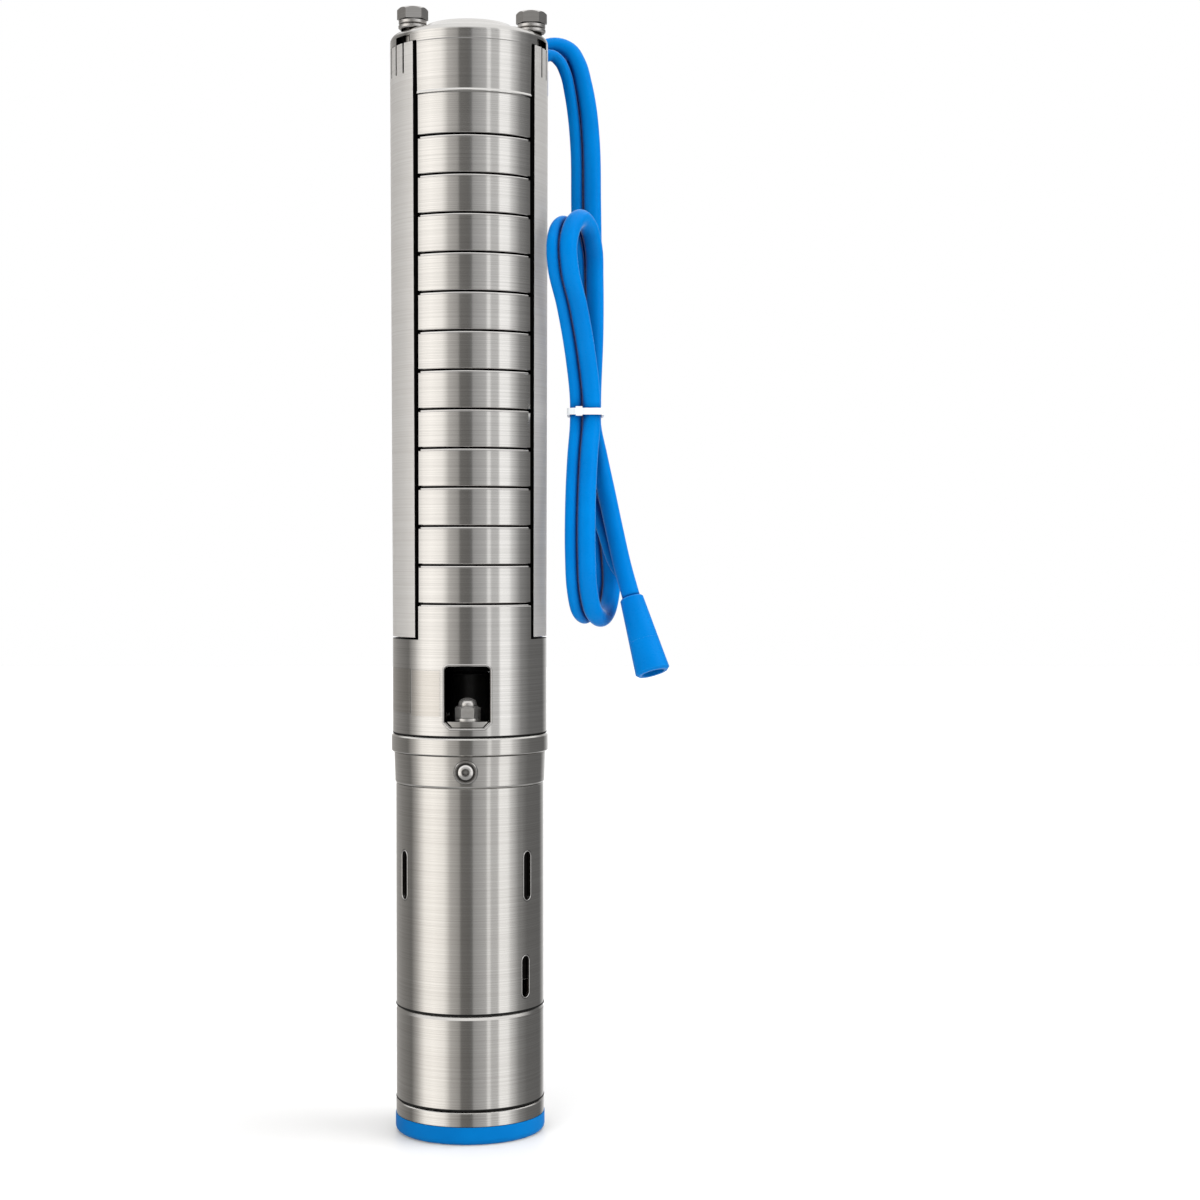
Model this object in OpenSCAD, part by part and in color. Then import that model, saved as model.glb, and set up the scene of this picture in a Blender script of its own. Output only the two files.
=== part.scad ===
// Four-inch borehole submersible pump: slotted motor below, twelve stages above, cable hanging at the right.
// Millimetres, +Z up, origin at the middle of the base face, front of the pump towards -Y.

/* [Motor] */
// Diameter of the motor
motor_d = 95; // [90:0.5:97]
// Wall of the slotted motor shell
shell_wall = 2; // [1.5:0.1:3]
// Height of the base cap
cap_h = 11.6; // [10:0.1:16]
// How far the base cap stands out from the motor
cap_lift = 0.6; // [0:0.1:1.5]
// Height of the bottom ring
ring_h = 9.9; // [8:0.1:14]
// Height of the lower motor housing
lower_h = 60; // [55:0.5:80]
// Height of the slotted motor shell
shell_h = 143.3; // [125:0.1:180]
// Height of the upper end bell
bell_h = 20.5; // [19:0.1:28]
// Width of the slots in the motor shell
slot_w = 7; // [5:0.1:9]
// Length of the three upper slots
upper_slot_h = 31; // [20:0.5:44]
// Length of the two lower slots
lower_slot_h = 26.5; // [16:0.5:32]
// Diameter of the motor shaft at its bearings
motor_shaft_d = 22; // [18:0.2:24]
// Number of rotor magnets
magnet_n = 8; // [4:2:10]

/* [Motor joint] */
// How far the flange ring stands out from the suction casing
flange_lift = 0.8; // [0:0.1:1.5]
// Height of the flange ring
flange_h = 11.3; // [9:0.1:15]
// Room between the stud nuts and the bore of the suction casing
nut_room = 0.3; // [0.2:0.1:2]
// Diameter of the motor studs
stud_d = 8; // [6:0.5:9]
// Width across flats of the stud nuts
stud_nut_af = 14; // [11:0.5:15]
// Height of the stud nuts
stud_nut_h = 7.7; // [5:0.1:9]

/* [Suction casing] */
// How far the suction casing stands out from the panels
suction_lift = 0.5; // [0:0.1:1]
// Height of the suction casing
suction_h = 83.2; // [80:0.2:95]
// Width of an inlet window
window_w = 28.6; // [20:0.2:32]
// Height of an inlet window
window_h = 38.6; // [30:0.2:40]
// Height of the window's lower edge above the casing's foot
window_lift = 6.2; // [4:0.1:8]
// Height of the ledge under the cable guards
ledge_lift = 61.1; // [58:0.1:62]

/* [Stages] */
// Number of stages
stage_n = 12; // [4:1:12]
// Height of one stage
stage_h = 24.4; // [24:0.1:30]
// Bore of the round chamber body
bowl_d = 82; // [80:0.2:83]
// Wall of the chamber body
bowl_wall = 2.5; // [2:0.1:3]
// How far the front and back panels stand out from the chamber body
panel_lift = 5.5; // [5:0.1:6]
// Angle that a front panel covers
panel_angle = 92; // [80:1:94]
// Height of the dark seam under each panel
seam_h = 1.2; // [0.6:0.1:2]
// Turn of the pump end against the motor
pump_turn = 8.5; // [0:0.5:15]
// Impeller diameter
impeller_d = 71; // [60:0.5:74]
// Number of impeller vanes
impeller_vanes = 6; // [4:1:8]
// Number of return vanes in a chamber
return_vanes = 7; // [5:1:9]
// Width across flats of the hexagonal pump shaft
pump_shaft_af = 14; // [12:0.1:14.6]

/* [Discharge casing] */
// Height of the discharge casing up to its rim
discharge_h = 69.4; // [68:0.2:80]
// How far the rim stands out from the panels
rim_lift = 1.5; // [1:0.1:2.5]
// Radius of the rounded shoulder of the rim
rim_round = 4; // [2:0.2:5]
// Diameter of the outlet collar
collar_d = 64; // [56:0.5:66]
// Height of the outlet collar above the rim
collar_h = 7; // [6:0.2:14]
// Diameter of the outlet's threaded bore
outlet_d = 44.8; // [40:0.2:48]
// Lift of the check valve
valve_lift = 10; // [6:0.5:11]

/* [Straps and guards] */
// Width of a tie strap
strap_w = 12; // [8:0.5:14]
// Thickness of a tie strap
strap_t = 2.4; // [1.5:0.1:3]
// Diameter of the stud on each strap
strap_stud_d = 9; // [7:0.2:9.6]
// Width across flats of the strap nuts
strap_nut_af = 17; // [14:0.5:19]
// Height of the strap nuts
strap_nut_h = 7.4; // [5:0.1:9]
// Thickness of the guard sheet
guard_t = 1.2; // [0.8:0.1:1.6]
// Angle that a guard covers
guard_angle = 81; // [76:1:84]
// Length of the slits at a guard's top
slit_h = 19; // [8:0.5:30]
// Width of the slits
slit_w = 1.6; // [0.8:0.1:2.4]

/* [Cable] */
// Diameter of the power cable
cable_d = 11.6; // [8:0.2:11.8]
// Diameter of the thinner sensor cable
thin_d = 7.6; // [5:0.2:8]
// Length of the cable connector
connector_h = 51.5; // [42:0.5:60]
// Diameter of the connector at its mouth
connector_d = 22.3; // [20:0.1:26]
// Diameter of the socket in the connector
socket_d = 15; // [10:0.1:16]
// Height of the cable tie's band
tie_h = 4.2; // [2:0.1:6]

/* [Fits] */
// Gap between curved faces that only locate each other
seat_gap = 0.3; // [0.2:0.05:0.4]
// Gap of pressed or glued curved faces
press_gap = 0.1; // [0.05:0.01:0.15]
// Radial clearance of bearings and guides
running_gap = 0.06; // [0.03:0.01:0.1]

/* [Hidden] */
$fn = 64;
STAGE_NAMES = [for (k = [1:stage_n]) str("stage_chamber_", k < 10 ? "0" : "", k)];

// Heights of the joints between the casings, from the base up
z_ring = cap_h;
z_lower = z_ring + ring_h;
z_shell = z_lower + lower_h;
z_bell = z_shell + shell_h;
z_flange = z_bell + bell_h;
z_suction = z_flange + flange_h;
z_stages = z_suction + suction_h;
z_discharge = z_stages + stage_n * stage_h;
z_rim = z_discharge + discharge_h;
z_outlet = z_rim + collar_h;

// Motor radii and inner heights
motor_r = motor_d / 2;
shell_bore = motor_r - shell_wall;
spigot_r = shell_bore - seat_gap;
spigot_h = 6;
spigot_wall = 5;
seam_edge = 1;
housing_bevel_r = 1.5;
housing_bevel_h = 2.6;
ring_bore = motor_r - 6.5;
ring_r = motor_r + 0.2;
housing_bore = motor_r - 4;
cap_lip_h = 2.4;
cap_round = 4;
diaphragm_t = 2;
carrier_h = 8;
pad_h = 5;
pad_n = 6;
thrust_disc_h = 7.5;
thrust_disc_r = 30;
shaft_r = motor_shaft_d / 2;
shaft_tail_r = shaft_r - 2;
shaft_spline_r = 7.3;
bush_r = shaft_r + 6;
bush_h = 20;
bush_drop = 0.5;
bell_hub_drop = 12;
seal_seat = 6;
hub_r = bush_r + 7;
seal_r = shaft_r + 5;
stator_end = 20;
stator_bore = 24.4;
rotor_r = 23.6;
magnet_t = 2.8;
stator_slots = 12;
stator_slot_r = 4.6;
stator_slot_circle = 33;
coil_r0 = 27;
coil_r1 = 41;
coil_h = 11;
z_cap_lip = z_ring + cap_lip_h;
z_carrier = z_cap_lip + diaphragm_t;
z_thrust = z_carrier + carrier_h + pad_h + seat_gap;
upper_slot_lift = 86.1;
lower_slot_lift = 22.2;
upper_slot_z = z_shell + upper_slot_lift;
lower_slot_z = z_shell + lower_slot_lift;
upper_slot_turns = [-58, 53, 177];
lower_slot_turns = [51, 231];
bell_foot_r = motor_r + 0.5;
bell_top_r = motor_r + 1.1;

// Filling plug on the front of the end bell
plug_z = z_bell + bell_h / 2;
plug_head_r = 5.1;
plug_seat_r = 7.4;
plug_seat_t = 0.6;
plug_rim_h = 1.7;
plug_rim_w = 1.5;
plug_head_h = 2.4;
plug_key_af = 4;
plug_thread_r = 3.4;
plug_depth = 4.4;
plug_face_r = (bell_foot_r + bell_top_r) / 2 - 1;

// Motor joint and suction casing
stud_r = stud_d / 2;
stud_turn = 1.2;
stud_turns = [for (k = [0:3]) stud_turn + 90 * k];
window_turns = [stud_turn, stud_turn + 180];
stud_foot_wall = 0.8;
stud_root = z_flange - plug_z - plug_thread_r - stud_foot_wall;
stud_washer_h = 1.9;
stud_over_nut = 2;
stud_bevel = 1;
nut_cap_wall = 1.9;
nut_cap_neck = 1.2;
nut_cap_h = 4.2;
bowl_r = bowl_d / 2;
body_r = bowl_r + bowl_wall;
panel_r = body_r + panel_lift;
suction_r = panel_r + suction_lift;
suction_wall = 3;
suction_bore = suction_r - suction_wall;
flange_r = suction_r + flange_lift;
stud_circle_r = suction_bore - stud_nut_af / cos(30) / 2 - nut_room;
floor_bore = 22;
floor_h = 9.9;
z_floor = z_suction + floor_h;
z_nut = z_floor + stud_washer_h;
z_window = z_suction + window_lift;
window_round = 3;
window_chamfer = 4;
window_rim = 1.2;
z_ledge = z_suction + ledge_lift;
ledge_t = 4;

// Stage chamber, heights above the chamber's foot
panel_skin = 2.4;
panel_end = 3.2;
panel_bevel = 1.2;
groove_angle = 18.5;
chamber_spigot = 2.5;
chamber_spigot_t = 1.5;
disc_t = 1.6;
disc_r = impeller_d / 2 + 0.5;
vane_t = 1.8;
vane_bite = 0.2;
floor_z = 9;
floor_t = 1.8;
bearing_out_r = 12.8;
bearing_hub_r = bearing_out_r + 2.7;
bearing_margin = 0.5;
eye_r = 17.2;
skirt_r = 19.2;
neck_r = skirt_r + seat_gap;
neck_out_r = neck_r + 2.3;
neck_lip = 1.8;
neck_lip_h = 1.2;

// Impeller, heights above the chamber's foot
impeller_r = impeller_d / 2;
impeller_floor = floor_z + floor_t + neck_lip_h + 0.6;
shroud_t = 1.2;
impeller_passage = 6;
impeller_hub_r = 10.5;
hub_over = 0.6;
impeller_hub_z = impeller_floor + shroud_t;
impeller_top = impeller_hub_z + impeller_passage + shroud_t;
sleeve_r = 9;
sleeve_foot = 4;
sleeve_head = 10;

// Coupling between the motor shaft and the pump shaft
coupling_r = 13;
coupling_z0 = z_floor - 5;
coupling_z1 = z_floor + 40;
coupling_mid = z_floor + 17;
slinger_r = 17;
slinger_t = 3;

// Discharge casing and check valve, heights above the casing's foot
valve_bore = bowl_r - 1;
diffuser_flange_h = 2.7;
diffuser_flange_r = bowl_r + 1.2;
diffuser_h = 11;
seat_h = 8;
valve_passage = 19;
cage_h = 30.4;
cage_wall = 1.7;
valve_flange_r = 27;
valve_flange_h = 2.7;
valve_stem_r = 4;
spring_r = 8;
spring_wire = 1.4;
spring_turns = 4;
guide_hub_r = 9;
guide_arm_w = 5;
guide_arm_h = 7;
guide_lift = 16.5;
z_seat = z_discharge + diffuser_h;
z_cage = z_seat + seat_h;
z_valve_flange = z_cage + seat_gap;
z_spring = z_valve_flange + valve_flange_h + seat_gap;
z_guide = z_valve_flange + valve_flange_h + guide_lift;
z_guide_top = z_cage + cage_h - guide_arm_h;
z_throat = z_cage + cage_h;
throat_h = 6;
throat_r = valve_bore - 6;
rim_r = panel_r + rim_lift;
rim_h = 9.1;
rim_line = 4.4;
rim_line_w = 0.6;
collar_slope_r = 4.2;
collar_slope_h = 3.6;
ridge_lift = 27.4;
ridge_r = panel_r + 0.7;
ridge_h = 1.2;
ridge_bead = 0.5;
notch_turn = 28.1;
notch_w = 16;
notch_h = 4.4;
notch_depth = 2.6;

// Straps and guards, turns counted from the pump's own front
strap_turns = [-60, 60, 180];
strap_nut_twists = [-0.5, -8.5, 10];
strap_radius = body_r;
strap_face_r = body_r + seat_gap;
strap_foot_z = z_ledge + 1.5;
hook_h = 4;
strap_head_z = z_rim - 12;
stud_foot_z = z_rim - 17.4;
stud_hole_r = strap_stud_d / 2 + 0.6;
flat_washer_h = 2.6;
flat_washer_r = 9;
spring_washer_h = 3.2;
spring_washer_r = 8.8;
spring_washer_cut = 1.6;
spring_washer_slant = 40;
z_strap_nut = z_rim + flat_washer_h + spring_washer_h;
guard_foot_gap = 1.4;
guard_foot_z = z_ledge + guard_foot_gap;
guard_top_z = z_rim - rim_h - seat_gap;
guard_room = 2;
guard_flare = 1.2;
guard_foot_r = strap_face_r + strap_t + guard_room + guard_t;
guard_top_r = guard_foot_r + guard_flare;
guard_edge_r = body_r + seat_gap;
guard_fold = 1.4;
slit_turns = [-29.7, -19.1, -8, 8, 19.1, 29.7];

// Motor lead and gland, at the back of the right guard
gland_turn = 128;
lead_w = 14;
lead_t = 3.4;
lead_gap = 0.4;
lead_hole_gap = 1;
lead_half = lead_t / 2;
lead_channel_r = body_r + lead_half + lead_gap;
lead_suction_r = suction_r + lead_half + lead_gap;
lead_flange_r = flange_r + lead_half + lead_gap;
lead_hole_z = z_bell + 11;
gland_z = z_rim - 34;
gland_mouth_z = z_rim - 14;
gland_face_r = rim_r + 4.5;
gland_block_w = 16;
gland_wall = 1.4;
gland_taper_h = 8;
guard_port_w = 30;
guard_port_h = guard_top_z - gland_z + gland_taper_h + 20;
guard_entry_w = 20;
guard_entry_h = 20;

// Cable routes: down from the gland, up in front, down again to the connector.
// Each point is counted outwards from the rim in x and up from the rim in z.
power_shape = [
    [-9.5, 39.6, -14], [-9.5, 39.6, -7], [-6, 40.8, 0], [-0.5, 41.7, 3.8], [6.5, 42, 4.2],
    [13.5, 41.8, 1], [18.5, 41, -7], [22.5, 39.5, -21], [25.5, 38, -37], [27.5, 36.5, -57],
    [28.5, 34, -102], [29, 30, -152], [29, 21, -197], [28.5, 13.2, -232], [28.5, 13.2, -247],
    [31.5, 16, -272], [36.5, 21, -302], [40.5, 24, -332], [41, 22, -352], [38.5, 13, -366],
    [34, -3, -371.5], [29, -18, -366], [26, -26, -352], [25, -28, -332], [25, -25.5, -302],
    [26.5, -16.5, -267], [28, -11.6, -247], [28, -11.6, -232], [25.5, -14, -207], [19.5, -22, -172],
    [14.3, -28.5, -150], [13.5, -29.5, -134], [16.5, -24, -122], [21.5, -12, -116.5], [26.5, 0, -121],
    [29.5, 6.5, -134], [30, 8, -152], [30, 5.5, -187], [28.5, 0.8, -232], [28.5, 0.8, -247],
    [32.5, 0.9, -267], [37.5, 0.8, -290], [43, -0.5, -316], [48.1, -3, -338.5], [53.5, -8, -358]];
thin_shape = [
    [-5.7, 30.4, -14], [-5.7, 30.4, -9], [-2.2, 31.2, -4.5], [2.5, 33.5, -3.5], [7, 35, -7],
    [10.8, 36, -14.5], [13.9, 36.2, -28], [16.1, 36, -43], [17.7, 35.5, -62], [18.3, 33.5, -102],
    [18.9, 30, -152], [18.9, 21, -197], [18.5, 13.2, -232], [18.5, 13.2, -247], [21.5, 16, -272],
    [26.5, 21, -302], [30.5, 24, -332], [31.1, 22, -352], [28.3, 13, -366], [23.7, -3, -371.5],
    [18.7, -18, -366], [16.1, -26, -352], [15.1, -28, -332], [15.1, -25.5, -302], [16.5, -16.5, -267],
    [18, -11.6, -247], [18, -11.6, -232], [15.5, -14, -207], [9.5, -22.5, -172], [4.3, -29.5, -150],
    [3.5, -30.5, -135], [5.6, -24.2, -124], [10.6, -12.2, -118.5], [15.6, -0.6, -122.5], [18.8, 5.8, -135],
    [19.9, 7.5, -152], [20, 5.5, -187], [18.5, 0.8, -232], [18.5, 0.8, -247], [21.5, 3, -267],
    [27, 6.5, -290], [35.5, 8.8, -316], [43.7, 8.4, -338.5], [50.8, 4.9, -348.5], [54.25, 1.7, -360.4]];
power_route = [for (p = power_shape) p + [rim_r, 0, z_rim]];
thin_route = [for (p = thin_shape) p + [rim_r, 0, z_rim]];
tube_sides = 10;

// Connector hung on the cable's end, and the tie around the three runs
connector_tilt = [-15, -16, 0];
connector_neck_d = 15.2;
connector_bevel = 1.5;
socket_depth = 22;
thin_offset = 10;
thin_lobe_r = thin_d / 2 + 1.4;
thin_lobe_h = 18;
thin_lobe_in = 1;
bond_gap = 0.06;
tie_z = z_rim - 239.5;
tie_t = 1.4;
tie_clear = 0.4;
tie_head = [4.2, 4.4, 5.8];
front_run = [28.5, -11.6];
rear_run = [28.5, 13.2];
thin_run_x = 18;
tie_x0 = rim_r + thin_run_x - thin_d / 2 - tie_clear;
tie_x1 = rim_r + rear_run[0] + cable_d / 2 + tie_clear;
tie_y0 = front_run[1] - cable_d / 2 - tie_clear;
tie_y1 = rear_run[1] + cable_d / 2 + tie_clear;
tie_head_shift = 6.4;
tie_head_x = tie_x0 + tie_head_shift;

// Plain ring between two radii and two heights
module ring(r0, r1, z0, z1) {
    rotate_extrude() translate([r0, z0]) square([r1 - r0, z1 - z0]);
}

// Turns a profile about the axis over an angle centred on a direction, counted from the front towards +X
module sector(turn, angle) {
    rotate([0, 0, turn - 90 - angle / 2]) rotate_extrude(angle = angle) children();
}

// Places children at a radius in a direction
module at_turn(turn, r = 0, z = 0) {
    rotate([0, 0, turn]) translate([0, -r, z]) children();
}

// Points a flat outline outwards: its y runs up the casing and its thickness along the radius
module outwards(turn, z, r0, r1) {
    rotate([0, 0, turn]) translate([0, -r0, z]) rotate([90, 0, 0]) linear_extrude(r1 - r0) children();
}

module hexagon(af, h) {
    cylinder(d = af / cos(30), h = h, $fn = 6);
}

// Slot outline with round ends, standing on its lower end
module obround(w, h) {
    translate([0, w / 2]) circle(d = w);
    translate([0, h - w / 2]) circle(d = w);
    translate([-w / 2, w / 2]) square([w, h - w]);
}

// Curved vanes between two radii, each a strip of a circle
module vanes(n, r0, r1, t, lean) {
    bend = r1 * 0.9;
    intersection() {
        difference() {
            circle(r = r1);
            circle(r = r0);
        }
        for (k = [0:n - 1]) rotate(k * 360 / n) translate([0, lean * bend * 0.92]) intersection() {
            difference() {
                circle(r = bend + t / 2);
                circle(r = bend - t / 2);
            }
            translate([0, -lean * bend - bend]) square([2 * r1, 2 * bend]);
        }
    }
}

// Pieces of the sweep: direction at a point, normals carried along a path, rings and faces
function unit(v) = v / norm(v);
function direction(p, i) = unit(p[min(i + 1, len(p) - 1)] - p[max(i - 1, 0)]);
function carried(p, n, i = 0) = i >= len(p) ? [] :
    let (t = direction(p, i), m = unit(n - (n * t) * t)) concat([m], carried(p, m, i + 1));
function round_section(r, sides) = [for (k = [0:sides - 1]) r * [cos(k * 360 / sides), sin(k * 360 / sides)]];
function flat_section(w, t) = let (a = w / 2, b = t / 2, c = t / 4)
    [[a, c], [a - c, b], [c - a, b], [-a, c], [-a, -c], [c - a, -b], [a - c, -b], [a, -c]];

// Sweeps a section along a path as one closed tube
module sweep(path, normal, section) {
    rows = len(path);
    sides = len(section);
    normals = carried(path, normal);
    points = [for (i = [0:rows - 1], q = section)
        path[i] + q[0] * normals[i] + q[1] * cross(direction(path, i), normals[i])];
    walls = [for (i = [0:rows - 2], k = [0:sides - 1])
        let (a = i * sides + k, b = i * sides + (k + 1) % sides)
        each [[a, a + sides, b], [b, a + sides, b + sides]]];
    polyhedron(points, concat(walls,
        [[for (k = [0:sides - 1]) k]],
        [[for (k = [sides - 1:-1:0]) (rows - 1) * sides + k]]));
}

// Room beside the front and back skins: two side channels under the guards and a groove for the rear strap
module side_channels(r, z0, z1) {
    for (s = [[-90, 180 - panel_angle], [90, 180 - panel_angle], [180, groove_angle]])
        sector(s[0], s[1]) translate([body_r, z0]) square([r - body_r, z1 - z0]);
}

// Hollows behind the skins of a stage, closed at the sides and below
module panel_hollows(h) {
    rear = (panel_angle - groove_angle) / 2;
    aside = (rear + groove_angle) / 2;
    spans = [[0, panel_angle], [180 - aside, rear], [180 + aside, rear]];
    for (s = spans) sector(s[0], s[1] - 2 * panel_end) translate([body_r, disc_t + seam_h])
        square([panel_r - panel_skin - body_r, h]);
}

// Disc, bearing hub and return vanes, shared by the chambers and the outlet diffuser
module return_guide() {
    ring(bearing_out_r + press_gap, disc_r, 0, disc_t);
    ring(bearing_out_r + press_gap, bearing_hub_r, 0, floor_z);
    translate([0, 0, disc_t - vane_bite]) linear_extrude(floor_z - disc_t + 2 * vane_bite)
        vanes(return_vanes, bearing_hub_r - 1, bowl_r - 4, vane_t, 1);
}

// Blue plastic foot with a rounded lower edge and a lip inside the bottom ring
module base_cap() {
    cap_r = motor_r + cap_lift;
    lip_r = ring_bore - seat_gap;
    color("dodgerblue") rotate_extrude() difference() {
        union() {
            translate([cap_r - cap_round, cap_round]) circle(r = cap_round);
            square([cap_r - cap_round, cap_h]);
            translate([0, cap_round]) square([cap_r, cap_h - cap_round]);
            square([lip_r, z_cap_lip]);
        }
        translate([0, cap_round]) square([lip_r - 4.7, z_cap_lip]);
    }
}

module bottom_ring() {
    foot_edge = 0.4;
    top_edge = 1.2;
    lip_r = housing_bore - seat_gap;
    color("silver") rotate_extrude() polygon([
        [ring_bore, z_ring], [ring_r - foot_edge, z_ring], [ring_r, z_ring + foot_edge],
        [ring_r, z_lower - top_edge], [ring_r - top_edge, z_lower], [lip_r, z_lower],
        [lip_r, z_lower + spigot_h], [ring_bore, z_lower + spigot_h]]);
}

// Rubber dish that lets the motor's filling expand
module diaphragm() {
    rim = ring_bore - seat_gap;
    dish = rim - 14;
    depth = 8;
    t = diaphragm_t;
    color("dimgray") rotate_extrude() polygon([
        [0, z_cap_lip - depth], [dish, z_cap_lip - depth], [dish + depth, z_cap_lip], [rim, z_cap_lip],
        [rim, z_cap_lip + t], [dish + depth - 1, z_cap_lip + t], [dish - 1, z_cap_lip - depth + t],
        [0, z_cap_lip - depth + t]]);
}

// Carrier with tilting pads under the thrust disc
module thrust_carrier() {
    color("slategray") {
        ring(shaft_tail_r, ring_bore - seat_gap, z_carrier, z_carrier + carrier_h);
        for (k = [0:pad_n - 1]) sector(k * 360 / pad_n, 46)
            translate([shaft_tail_r + 4, z_carrier + carrier_h - 0.5])
                square([thrust_disc_r - shaft_tail_r - 5, pad_h + 0.5]);
    }
}

// Steel housing of the thrust bearing, with the lower bearing hub in its roof
module lower_housing() {
    roof = 11;
    hub_drop = bush_h + 1;
    color("silver") rotate_extrude() polygon([
        [housing_bore, z_lower], [motor_r - seam_edge, z_lower], [motor_r, z_lower + seam_edge],
        [motor_r, z_shell - housing_bevel_h], [motor_r - housing_bevel_r, z_shell],
        [spigot_r, z_shell], [spigot_r, z_shell + spigot_h],
        [spigot_r - spigot_wall, z_shell + spigot_h], [spigot_r - spigot_wall, z_shell],
        [bush_r + press_gap, z_shell], [bush_r + press_gap, z_shell - hub_drop],
        [hub_r, z_shell - hub_drop], [hub_r, z_shell - roof],
        [housing_bore, z_shell - roof]]);
}

// Carbon bushes in the lower housing and the upper end bell
module motor_bushes() {
    color("dimgray") for (z = [z_shell - bush_h - bush_drop, z_bell - bell_hub_drop + bush_drop])
        translate([0, 0, z]) ring(shaft_r + running_gap, bush_r, 0, bush_h);
}

// Slot through the shell with a shallow bevel around it
module shell_slot(turn, z, h) {
    rim = 0.9;
    outwards(turn, z, shell_bore - 3, motor_r + 3) obround(slot_w, h);
    intersection() {
        outwards(turn, z - rim, shell_bore, motor_r + 3) obround(slot_w + 2 * rim, h + 2 * rim);
        ring(motor_r - 0.7, motor_r + 3, z - 2 * rim, z + h + 2 * rim);
    }
}

module motor_shell() {
    top_edge = 0.6;
    color("silver") difference() {
        rotate_extrude() polygon([
            [shell_bore, z_shell], [motor_r - seam_edge, z_shell], [motor_r, z_shell + seam_edge],
            [motor_r, z_bell - top_edge], [motor_r - top_edge, z_bell], [shell_bore, z_bell]]);
        for (turn = upper_slot_turns) shell_slot(turn, upper_slot_z - upper_slot_h / 2, upper_slot_h);
        for (turn = lower_slot_turns) shell_slot(turn, lower_slot_z - lower_slot_h / 2, lower_slot_h);
    }
}

module stator_core() {
    color("darkslategray") translate([0, 0, z_shell + stator_end])
        linear_extrude(shell_h - 2 * stator_end) difference() {
            circle(r = spigot_r);
            circle(r = stator_bore);
            for (k = [0:stator_slots - 1]) rotate(k * 360 / stator_slots) {
                translate([0, stator_slot_circle]) circle(r = stator_slot_r);
                translate([-1.2, stator_bore - 1]) square([2.4, stator_slot_circle - stator_bore]);
            }
        }
}

// Winding bars in the stator slots, joined by the end turns
module stator_windings() {
    bar_r = stator_slot_r - seat_gap;
    bar_over = 2;
    color("chocolate") {
        for (k = [0:stator_slots - 1]) rotate(k * 360 / stator_slots)
            translate([0, stator_slot_circle, z_shell + stator_end - bar_over])
                cylinder(r = bar_r, h = shell_h - 2 * stator_end + 2 * bar_over);
        for (z = [z_shell + stator_end - coil_h - seat_gap, z_bell - stator_end + seat_gap])
            rotate_extrude() translate([coil_r0 + 2, z]) {
                square([coil_r1 - coil_r0 - 4, coil_h]);
                translate([-2, 2]) square([coil_r1 - coil_r0, coil_h - 4]);
                for (x = [0, coil_r1 - coil_r0 - 4], y = [2, coil_h - 2]) translate([x, y]) circle(r = 2);
            }
    }
}

// Top of the motor: bearing hub, seal seat, stud holes, filling hole and the lead's way out
module upper_end_bell() {
    bush_top = z_flange - seal_seat - 3;
    color("silver") difference() {
        rotate_extrude() polygon([
            [bush_r + press_gap, z_bell - bell_hub_drop], [hub_r, z_bell - bell_hub_drop], [hub_r, z_bell],
            [spigot_r - spigot_wall, z_bell], [spigot_r - spigot_wall, z_bell - spigot_h],
            [spigot_r, z_bell - spigot_h], [spigot_r, z_bell],
            [bell_foot_r - 0.8, z_bell], [bell_foot_r, z_bell + 1.2],
            [bell_top_r, z_flange - 0.8], [bell_top_r - 0.8, z_flange], [seal_r + press_gap, z_flange],
            [seal_r + press_gap, z_flange - seal_seat], [shaft_r + 1, z_flange - seal_seat],
            [shaft_r + 1, bush_top], [bush_r + press_gap, bush_top]]);
        for (turn = stud_turns) at_turn(turn, stud_circle_r, z_flange - stud_root)
            cylinder(r = stud_r + press_gap, h = stud_root + 1);
        outwards(0, plug_z, plug_face_r, motor_r + 4) circle(r = plug_seat_r + seat_gap);
        outwards(0, plug_z, plug_face_r - plug_depth - 0.4, motor_r) circle(r = plug_thread_r + press_gap);
        outwards(gland_turn, lead_hole_z - lead_half - lead_hole_gap, motor_r - 5, motor_r + 4)
            translate([-lead_w / 2 - lead_hole_gap, 0])
                square([lead_w + 2 * lead_hole_gap, lead_t + 2 * lead_hole_gap]);
    }
}

module shaft_seal() {
    color("black") ring(shaft_r + running_gap, seal_r, z_flange - seal_seat, z_flange - bush_drop);
}

// Turns a profile about a line that points outwards from the axis
module turned_outwards(turn, z, r) {
    rotate([0, 0, turn]) translate([0, -r, z]) rotate([90, 0, 0]) rotate_extrude() children();
}

// Domed plug head with a hexagonal key socket, screwed in from the front
module filling_plug() {
    top = plug_seat_t + plug_head_h;
    r = plug_head_r;
    color("gainsboro") difference() {
        turned_outwards(0, plug_z, plug_face_r) polygon([
            [0, -plug_depth], [plug_thread_r, -plug_depth], [plug_thread_r, plug_seat_t], [r, plug_seat_t],
            [r, top - 1.6], [r - 0.5, top - 0.9], [r - 1.4, top - 0.3], [r - 2.4, top], [0, top]]);
        outwards(0, plug_z, plug_face_r + plug_seat_t, plug_face_r + top + 1)
            rotate(30) circle(d = plug_key_af / cos(30), $fn = 6);
    }
}

// Ring under the plug's head, with a raised rim around it
module plug_seat_ring() {
    inner = plug_seat_r - plug_rim_w;
    color("silver") turned_outwards(0, plug_z, plug_face_r) polygon([
        [plug_thread_r + seat_gap, 0], [plug_seat_r, 0], [plug_seat_r, plug_rim_h - 0.5],
        [plug_seat_r - 0.5, plug_rim_h], [inner + 0.3, plug_rim_h], [inner, plug_rim_h - 0.3],
        [inner, plug_seat_t], [plug_thread_r + seat_gap, plug_seat_t]]);
}

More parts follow.
